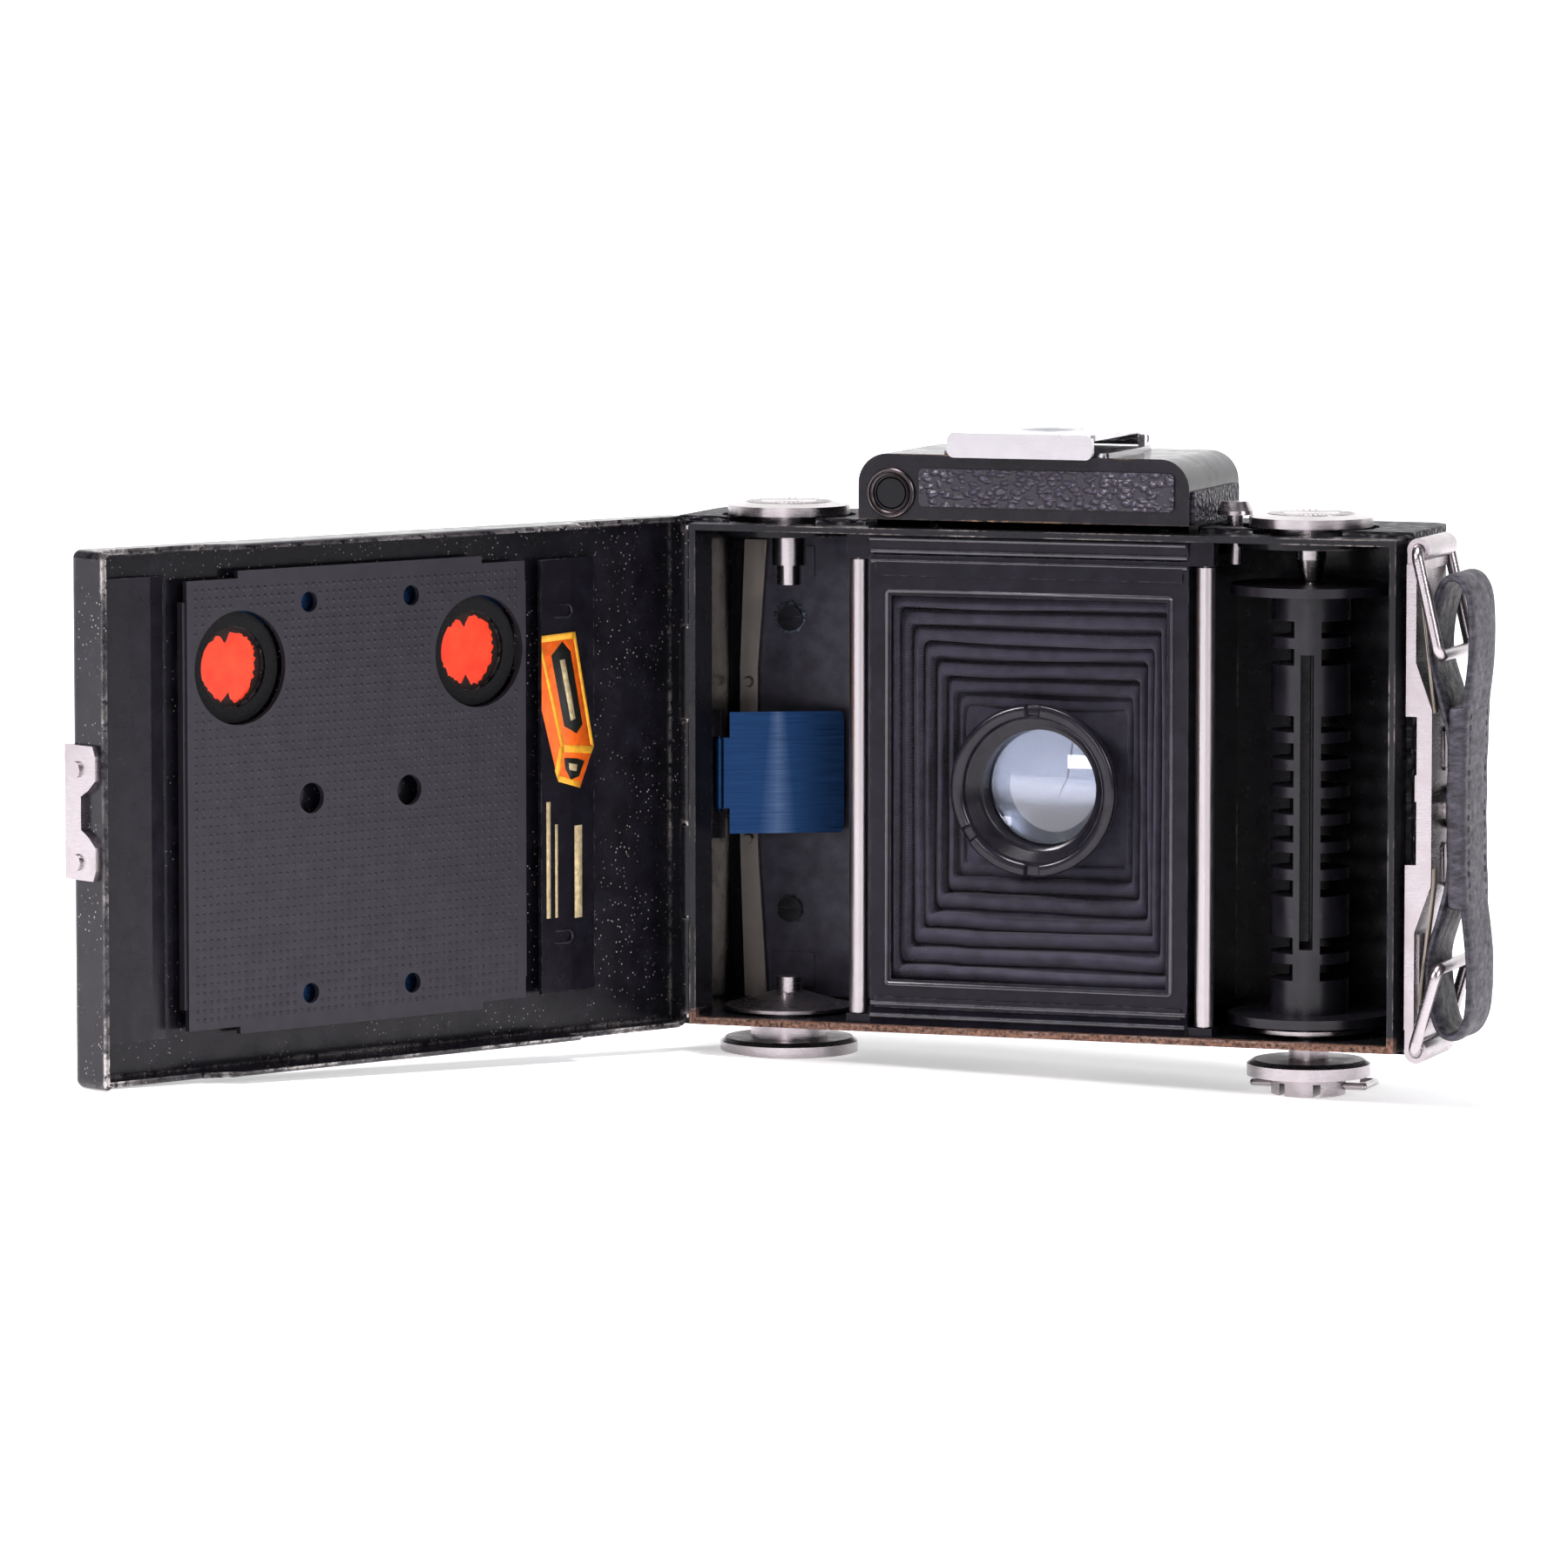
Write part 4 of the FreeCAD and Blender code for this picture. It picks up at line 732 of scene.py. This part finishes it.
def ring_band(bm, cx, cz, inner, outer, y_low, y_high, segments=72):
    """A flat ring about the Y axis; inner may be a number or a function of the angle."""
    rows = []
    for i in range(segments):
        a = 2 * math.pi * i / segments
        r = inner(a) if callable(inner) else inner
        rows.append([bm.verts.new(((cx + q * math.cos(a)) * MM, y * MM, (cz + q * math.sin(a)) * MM))
                     for q, y in ((r, y_low), (r, y_high), (outer, y_high), (outer, y_low))])
    for i in range(segments):
        a, b = rows[i], rows[(i + 1) % segments]
        for k in range(4):
            bm.faces.new((a[k], a[(k + 1) % 4], b[(k + 1) % 4], b[k]))


def window_trims():
    """The ragged paint edge over each red pane, and a black felt ring round it."""
    masks, felts = bmesh.new(), bmesh.new()
    for x, z in WINDOWS:
        teeth = [rng.random() for _ in range(96)]

        def ragged(a, teeth=teeth):
            r = 5.15 + 0.25 * math.sin(3 * a + 7 * teeth[0]) + 0.55 * (teeth[int(a * 95 / 6.2832)] - 0.5)
            for notch in (math.radians(82), math.radians(272)):
                gap = abs((a - notch + math.pi) % (2 * math.pi) - math.pi)
                r -= max(0.0, 1.5 - 7.5 * gap)
            return r

        ring_band(masks, x, z, ragged, 5.88, -15.58, -15.5, 96)
        ring_band(felts, x, z, 5.95, 8.15, -14.42, -14.3)
    piece("window_paint_edges", masks, "burnt", "door",
          placement=door_placement())
    piece("window_felt_rings", felts, "felt", "door",
          placement=door_placement())


def sheet_height(x):
    """The face of the bent guide sheet at a distance along the door."""
    line = ((-39.5, -14.9), (-34.0, -13.75), (-27.4, -12.9))
    for (x0, y0), (x1, y1) in zip(line, line[1:]):
        if x <= x1 or x1 == line[-1][0]:
            return y0 + (y1 - y0) * (x - x0) / (x1 - x0)


def printed(name, key, outlines, lift):
    """Flat printed shapes laid on the bent guide sheet."""
    bm = bmesh.new()
    for outline in outlines:
        bm.faces.new([bm.verts.new((x * MM, 0, z * MM)) for x, z in outline])
    geometry = bm.verts[:] + bm.edges[:] + bm.faces[:]
    bmesh.ops.bisect_plane(bm, geom=geometry, plane_co=(-0.034, 0, 0), plane_no=(1, 0, 0))
    for vertex in bm.verts:
        vertex.co.y = (sheet_height(vertex.co.x / MM) + lift) * MM
    mesh = from_bmesh(bm, name)
    obj = piece(name, mesh, key, "door", placement=door_placement())
    thick = obj.modifiers.new("Ink", "SOLIDIFY")
    thick.thickness = 0.02 * MM
    thick.offset = 0


def film_label():
    """A generic printed film box in orange and yellow, with plain bars where lettering would be."""
    box_shape = [(-27.5, 60.1), (-34.9, 60.3), (-39.3, 42.7), (-36.0, 36.6), (-31.1, 37.9), (-27.5, 48.9)]
    printed("label_box", "orange", [box_shape], 0.05)
    edges = [[(-27.5, 60.1), (-34.9, 60.3), (-34.6, 59.3), (-27.5, 59.1)],
             [(-34.9, 60.3), (-39.3, 42.7), (-38.5, 43.0), (-34.2, 60.3)],
             [(-39.3, 42.7), (-32.3, 43.4), (-32.4, 42.3), (-38.7, 41.6)],
             [(-32.3, 43.4), (-27.5, 58.6), (-27.5, 56.6), (-31.6, 43.2)],
             [(-32.3, 43.0), (-31.1, 37.9), (-30.3, 39.6), (-31.4, 43.4)],
             [(-36.0, 36.6), (-31.1, 37.9), (-31.0, 38.9), (-35.8, 37.6)]]
    printed("label_edges", "yellow", edges, 0.09)
    panels = [[(-29.6, 57.0), (-32.0, 59.0), (-33.8, 57.4), (-36.6, 46.2), (-35.2, 44.9), (-32.4, 46.2)],
              [(-32.6, 39.8), (-32.4, 41.4), (-35.4, 41.1), (-37.0, 40.6), (-35.8, 38.4), (-33.8, 38.0)]]
    printed("label_panels", "ink", panels, 0.09)
    bars = [[(-31.4, 56.2), (-32.5, 56.3), (-34.9, 47.2), (-33.8, 46.9)],
            [(-33.3, 40.6), (-35.4, 40.2), (-35.1, 39.2), (-33.5, 39.5)]]
    for x0, x1, z0, z1 in ((-28.4, -29.3, 17.4, 35.0), (-30.3, -30.9, 17.4, 31.5),
                           (-34.6, -36.4, 17.0, 31.0)):
        bars.append([(x0, z0), (x0, z1), (x1, z1), (x1, z0)])
    printed("label_bars", "cream", bars, 0.13)


def tube_mesh(name, lines_mm, radius_mm, sides=8, closed=False):
    """Round wires along polylines, with flat ends."""
    bm = bmesh.new()
    for line in lines_mm:
        points = [Vector(p) for p in line]
        count = len(points)
        rings = []
        normal = None
        for i, point in enumerate(points):
            before = points[i - 1] if (i or closed) else point
            after = points[(i + 1) % count] if (i < count - 1 or closed) else point
            direction = (after - before).normalized()
            if normal is None:
                normal = direction.orthogonal().normalized()
            normal = (normal - direction * normal.dot(direction)).normalized()
            side = direction.cross(normal)
            rings.append([bm.verts.new((point + radius_mm * (math.cos(a) * normal + math.sin(a) * side)) * MM)
                          for a in (2 * math.pi * k / sides for k in range(sides))])
        pairs = list(zip(rings, rings[1:])) + ([(rings[-1], rings[0])] if closed else [])
        for a, b in pairs:
            for k in range(sides):
                bm.faces.new((a[k], a[(k + 1) % sides], b[(k + 1) % sides], b[k]))
        if not closed:
            bm.faces.new(list(reversed(rings[0])))
            bm.faces.new(rings[-1])
    return from_bmesh(bm, name)


def stadium(cx, cy, cz, half_long, half_short, steps=7):
    """A slot outline in the XZ plane, long in X."""
    points = []
    for side in (1, -1):
        for k in range(steps + 1):
            a = math.radians(90 - 180 * k / steps) if side == 1 else math.radians(270 - 180 * k / steps)
            points.append((cx + side * (half_long - half_short) + half_short * math.cos(a), cy,
                           cz + half_short * math.sin(a)))
    return points


def door_embossing():
    """Two slot-shaped beads above and below the label, and two rivets near the door's edge."""
    beads = [stadium(-31.9, sheet_height(-31.9) + 0.02, z, 2.0, 0.95) for z in (63.6, 14.4)]
    piece("door_slot_beads", tube_mesh("door_slot_beads", beads, 0.2, closed=True), "trim", "door",
          placement=door_placement())
    rivets = []
    for x, z in ((56.9, 8.4), (56.9, 70.2)):
        rivets.append([(x, -14.9, z), (x, -14.5, z)])
    piece("door_rivets", tube_mesh("door_rivets", rivets, 0.6, 12), "nickel", "door",
          placement=door_placement())


# ------------------------------------------------------------------ strap

def smooth_loop(points, samples):
    """A closed Catmull-Rom curve through the points."""
    count = len(points)
    out = []
    for i in range(count):
        p0, p1, p2, p3 = (Vector(points[(i + k) % count]) for k in (-1, 0, 1, 2))
        for s in range(samples):
            t = s / samples
            out.append(0.5 * ((2 * p1) + (p2 - p0) * t + (2 * p0 - 5 * p1 + 4 * p2 - p3) * t * t
                              + (3 * p1 - p0 - 3 * p2 + p3) * t ** 3))
    return out


STRAP_Z = 36.4
STRAP_HALF = [(66.35, 0), (66.6, 8), (66.95, 14), (67.85, 22.5), (67.7, 30), (66.6, 33.2), (64.9, 34.1),
              (63.2, 32.7), (61.95, 28), (61.65, 22.3), (63.3, 16.4), (64.75, 10.5), (64.95, 4)]


def strap():
    """The leather strip that loops round both rings, with crowned faces and rounded edges."""
    path = [(x, z) for x, z in STRAP_HALF]
    path += [(x, -z) for x, z in reversed(STRAP_HALF[1:])]
    line = smooth_loop([(x, z + STRAP_Z) for x, z in path], 8)
    count = len(line)
    half_t, centre, half_w = 0.66, -4.15, 6.7
    section = []
    across = 16
    for side in (1, -1):
        for k in range(across + 1):
            v = side * (1 - 2 * k / across)
            crown = half_t * (1 - 0.55 * abs(v) ** 7)
            section.append((v * half_w, side * crown))
    bm = bmesh.new()
    rings = []
    for i, point in enumerate(line):
        direction = (line[(i + 1) % count] - line[i - 1]).normalized()
        normal = Vector((direction.y, -direction.x))
        wobble = 0.07 * math.sin(0.37 * i) + 0.05 * math.sin(0.91 * i + 1)
        ring = []
        for w, t in section:
            ripple = 0.05 * math.sin(0.8 * w + 0.23 * i)
            offset = normal * (t + ripple)
            ring.append(bm.verts.new(((point.x + offset.x) * MM, (centre + w * (1 + 0.012 * wobble)) * MM,
                                      (point.y + offset.y) * MM)))
        rings.append(ring)
    for i in range(count):
        a, b = rings[i], rings[(i + 1) % count]
        for k in range(len(section)):
            j = (k + 1) % len(section)
            bm.faces.new((a[k], a[j], b[j], b[k]))
    obj = piece("strap_strip", bm, "strap", "strap", ("hand_strap",))
    soft = obj.modifiers.new("Soft", "SUBSURF")
    soft.levels = soft.render_levels = 1


def strap_sleeve():
    """The stitched leather wrap that holds the two layers together in the middle."""
    bm = bmesh.new()
    rings = []
    rows = 56
    for i in range(rows + 1):
        z = -15.2 + 30.4 * i / rows
        end = 1 - min(1, (15.2 - abs(z)) / 0.7)
        centre = 65.75 + 0.0021 * z * z * 0.8
        half_t = 1.62 + 0.05 * math.sin(0.9 * z) - 0.35 * end ** 2
        half_w = 6.95 + 0.06 * math.sin(0.55 * z + 1)
        ring = []
        for k in range(40):
            a = 2 * math.pi * k / 40
            c, s = math.cos(a), math.sin(a)
            x = centre + half_t * math.copysign(abs(c) ** 0.45, c)
            y = -4.15 + half_w * math.copysign(abs(s) ** 0.28, s)
            groove = 0.14 * math.exp(-((abs(y + 4.15) - 5.2) / 0.45) ** 2) if abs(c) > 0.2 else 0
            x -= math.copysign(groove, c)
            ring.append(bm.verts.new((x * MM, y * MM, (STRAP_Z + z) * MM)))
        rings.append(ring)
    for a, b in zip(rings, rings[1:]):
        for k in range(40):
            bm.faces.new((a[k], a[(k + 1) % 40], b[(k + 1) % 40], b[k]))
    bm.faces.new(list(reversed(rings[0])))
    bm.faces.new(rings[-1])
    obj = piece("strap_sleeve", bm, "strap", "strap")
    soft = obj.modifiers.new("Soft", "SUBSURF")
    soft.levels = soft.render_levels = 1
    stitches = []
    for y in (-8.6, 0.3):
        for side in (1, -1):
            for k in range(17):
                z = -13.8 + 1.68 * k
                x = 65.75 + 0.0017 * z * z + side * 1.42
                stitches.append([(x - side * 0.15, y, STRAP_Z + z), (x + side * 0.06, y, STRAP_Z + z + 0.25),
                                 (x + side * 0.06, y, STRAP_Z + z + 0.85),
                                 (x - side * 0.15, y, STRAP_Z + z + 1.1)])
    piece("strap_stitches", tube_mesh("strap_stitches", stitches, 0.17, 6), "thread", "strap")


# ------------------------------------------------------------------ turned and engraved metal

def knob_tops():
    """Engraved discs on the two pull-up knobs: fine circles and a ring of short radial cuts."""
    for name, body, node_x in (("left_knob_face", "left_knob", -42.2),
                               ("right_knob_face", "right_knob", 40.4)):
        profile = [(0, 78.7), (0, 78.98), (0.8, 78.98)]
        for k in range(6):
            r = 1.2 + 0.45 * k
            profile += [(r, 78.98), (r + 0.12, 78.9), (r + 0.24, 78.98)]
        profile += [(4.2, 78.98), (4.3, 78.97), (6.3, 78.97), (6.4, 78.98), (6.55, 78.9), (6.65, 78.96),
                    (6.62, 78.7)]

        def cuts(angle, radius, height):
            if 4.25 < radius < 6.35 and height > 78.9 and int(angle * 60 / math.pi) % 3 == 0:
                return radius, height - 0.1
            return radius, height

        piece(name, lathe_mesh(name, profile, 240, cuts), "nickel_round", body,
              placement=axis_placement((node_x, 0, 0)))


def eyepiece():
    """A dark ring of stepped, concentric lips round the eye cup."""
    profile = [(0.9, 9.2), (0.9, 11.75), (1.0, 11.85), (1.2, 11.85), (1.3, 11.6), (1.5, 11.6), (1.6, 11.95),
               (1.8, 11.95), (1.9, 11.7), (2.1, 11.7), (2.2, 12.1), (2.4, 12.1), (2.5, 11.85), (2.7, 11.85),
               (2.8, 12.3), (3.0, 12.45), (3.1, 12.2), (3.25, 12.2), (3.35, 12.6), (3.6, 12.66), (3.75, 12.5),
               (3.8, 12.05), (3.25, 12.05), (3.25, 9.2)]
    piece("eye_cup", lathe_mesh("eye_cup", profile, 96), "eye_ring", "body", ("eyepiece_ring",),
          axis_placement((-21.7, 0, 81.3), "-y"))


def side_surface(z):
    """The outer face of the side plate at a height."""
    for z0, x0, z1, x1 in ((3.5, 60.0, 25, 62.5), (25, 62.5, 51, 62.5), (51, 62.5, 72.5, 60.0)):
        if z <= z1:
            return x0 + (x1 - x0) * (z - z0) / (z1 - z0)
    return 60.0


def side_plate_engraving():
    """Raised parallel lines along the crowned side plate."""
    lines = []
    for y in (-11.3, -10.75, -10.2, -9.65, -9.1):
        for z0, z1 in ((7, 27.5), (50.5, 69)):
            heights = [z0 + (z1 - z0) * k / 14 for k in range(15)]
            lines.append([(side_surface(z) + 0.02, y, z) for z in heights])
    piece("side_plate_lines", tube_mesh("side_plate_lines", lines, 0.13, 6), "nickel_dark", "body")
    slots = []
    for z in (27.6, 44.8):
        outline = ((-5.6, z - 2.6), (-4.9, z - 3.1), (-0.8, z - 3.1), (-0.1, z - 2.6),
                   (-0.1, z + 2.6), (-0.8, z + 3.1), (-4.9, z + 3.1), (-5.6, z + 2.6))
        slots.append([(62.55, y, zz) for y, zz in outline])
    piece("side_plate_slots", tube_mesh("side_plate_slots", slots, 0.22, 8, True), "nickel", "body")


def latch_rings():
    """Concentric rings pressed into the latch button."""
    profile = [(0, 63.3), (0, 63.58), (0.5, 63.6), (0.7, 63.45), (0.95, 63.45), (1.1, 63.6), (1.35, 63.6),
               (1.5, 63.45), (1.75, 63.45), (1.9, 63.6), (2.2, 63.6), (2.4, 63.4), (2.4, 63.3)]
    piece("latch_button_face", lathe_mesh("latch_button_face", profile, 72), "nickel_round", "latch",
          placement=axis_placement((0, -2.6, 36), "x"))


def scraped_rings():
    """Paint scraped in a ragged ring round both front-wall screws."""
    rings = bmesh.new()
    for x, z, outer in ((-46.5, 60, 2.6), (-46.5, 15, 2.2)):
        jag = [rng.random() for _ in range(64)]
        outer_edge = [outer * (0.8 + 0.35 * jag[k]) for k in range(64)]
        rows = []
        for k in range(64):
            a = 2 * math.pi * k / 64
            rows.append([rings.verts.new(((x + r * math.cos(a)) * MM, 13.02 * MM, (z + r * math.sin(a)) * MM))
                         for r in (1.35, outer_edge[k])])
        for k in range(64):
            a, b = rows[k], rows[(k + 1) % 64]
            rings.faces.new((a[0], a[1], b[1], b[0]))
    obj = piece("scraped_paint", rings, "scrape", "body")
    thick = obj.modifiers.new("Film", "SOLIDIFY")
    thick.thickness = 0.03 * MM


bellows()
bellows_board()
gate_mouldings()
chamber_lining()
retaining_ring()
rear_glass()
plate_dots()
window_trims()
film_label()
door_embossing()
strap()
strap_sleeve()
knob_tops()
eyepiece()
side_plate_engraving()
latch_rings()
scraped_rings()


# ------------------------------------------------------------------ stage, light and camera

def floor_and_backdrop():
    """A pale sweep: a floor through the lowest points of the camera, curving up far behind it."""
    bm = bmesh.new()
    slope_x, slope_y, base = -0.0363, -0.0175, -0.0069
    profile = [(-6.0, 0.0)]
    radius, start, steps = 2.2, 3.2, 24
    profile.append((start, 0.0))
    for k in range(1, steps + 1):
        a = math.pi / 2 * k / steps
        profile.append((start + radius * math.sin(a), radius * (1 - math.cos(a))))
    profile.append((start + radius, 7.0))
    rows = []
    for y, rise in profile:
        flat_y = y if rise == 0 else start
        rows.append([bm.verts.new((x, y, base + slope_x * x + slope_y * flat_y + rise)) for x in (-7, 7)])
    for a, b in zip(rows, rows[1:]):
        bm.faces.new((a[0], a[1], b[1], b[0]))
    mesh = from_bmesh(bm, "sweep")
    obj = bpy.data.objects.new("studio_sweep", mesh)
    bpy.context.scene.collection.objects.link(obj)
    s = Shader("sweep_paper", (0.86, 0.86, 0.86), 0.85)
    s.colour(s.mix(s.noise(0.01, 2), (0.85, 0.85, 0.85), (0.88, 0.88, 0.88)))
    s.set(s.bsdf, "Emission Color", (1, 1, 1, 1))
    split = s.node("SeparateXYZ")
    s.link(s.mm, split.inputs[0])
    near = s.ramp(split.outputs[1], -620, -420, 0.02, 0.5)
    far = s.ramp(split.outputs[1], 300, 1500, 0.0, 0.55)
    s.drive("Emission Strength", s.math("ADD", near, far))
    s.bump(s.noise(0.8, 3), 0.01)
    mesh.materials.append(s.material)
    mesh.polygons.foreach_set("use_smooth", [True] * len(mesh.polygons))


def area_light(name, location, target, size, power, colour=(1, 0.955, 1), size_y=None):
    light = bpy.data.lights.new(name, "AREA")
    light.shape = "RECTANGLE"
    light.size = size
    light.size_y = size_y or size
    light.energy = power
    light.color = colour
    obj = bpy.data.objects.new(name, light)
    obj.location = location
    obj.rotation_euler = (Vector(target) - Vector(location)).to_track_quat("-Z", "Y").to_euler()
    bpy.context.scene.collection.objects.link(obj)
    return obj


def camera():
    view = bpy.data.cameras.new("studio_camera")
    view.lens = 209.8
    view.sensor_width = 36
    obj = bpy.data.objects.new("studio_camera", view)
    forward = Vector((-0.3328, 0.9380, -0.0967)).normalized()
    right = Vector((0.942, 0.334, 0.0)).normalized()
    up = right.cross(forward).normalized()
    right = forward.cross(up)
    turn = Matrix((right, up, -forward)).transposed().to_4x4()
    obj.matrix_world = Matrix.Translation((0.4208, -1.3073, 0.1704)) @ turn
    view.clip_start = 0.05
    view.clip_end = 30
    bpy.context.scene.collection.objects.link(obj)
    bpy.context.scene.camera = obj


floor_and_backdrop()
area_light("softbox_left", (-0.7, -0.95, 0.8), (0, 0, 0.03), 0.3, 15)
area_light("softbox_right", (1.1, -0.5, 0.55), (0, 0, 0.03), 0.3, 7, size_y=0.5)
area_light("softbox_top", (-0.05, -0.25, 1.25), (0, 0, 0.03), 0.5, 16)
area_light("softbox_front", (0.15, -1.7, 0.35), (0, 0, 0.03), 0.5, 3.5, size_y=0.25)
world = bpy.data.worlds.new("studio_world")
bpy.context.scene.world = world
world.use_nodes = True
world.node_tree.nodes["Background"].inputs["Color"].default_value = (0.96, 0.92, 1, 1)
world.node_tree.nodes["Background"].inputs["Strength"].default_value = 0.09
bpy.context.scene.view_settings.view_transform = "Standard"
bpy.context.scene.view_settings.gamma = 0.87
camera()
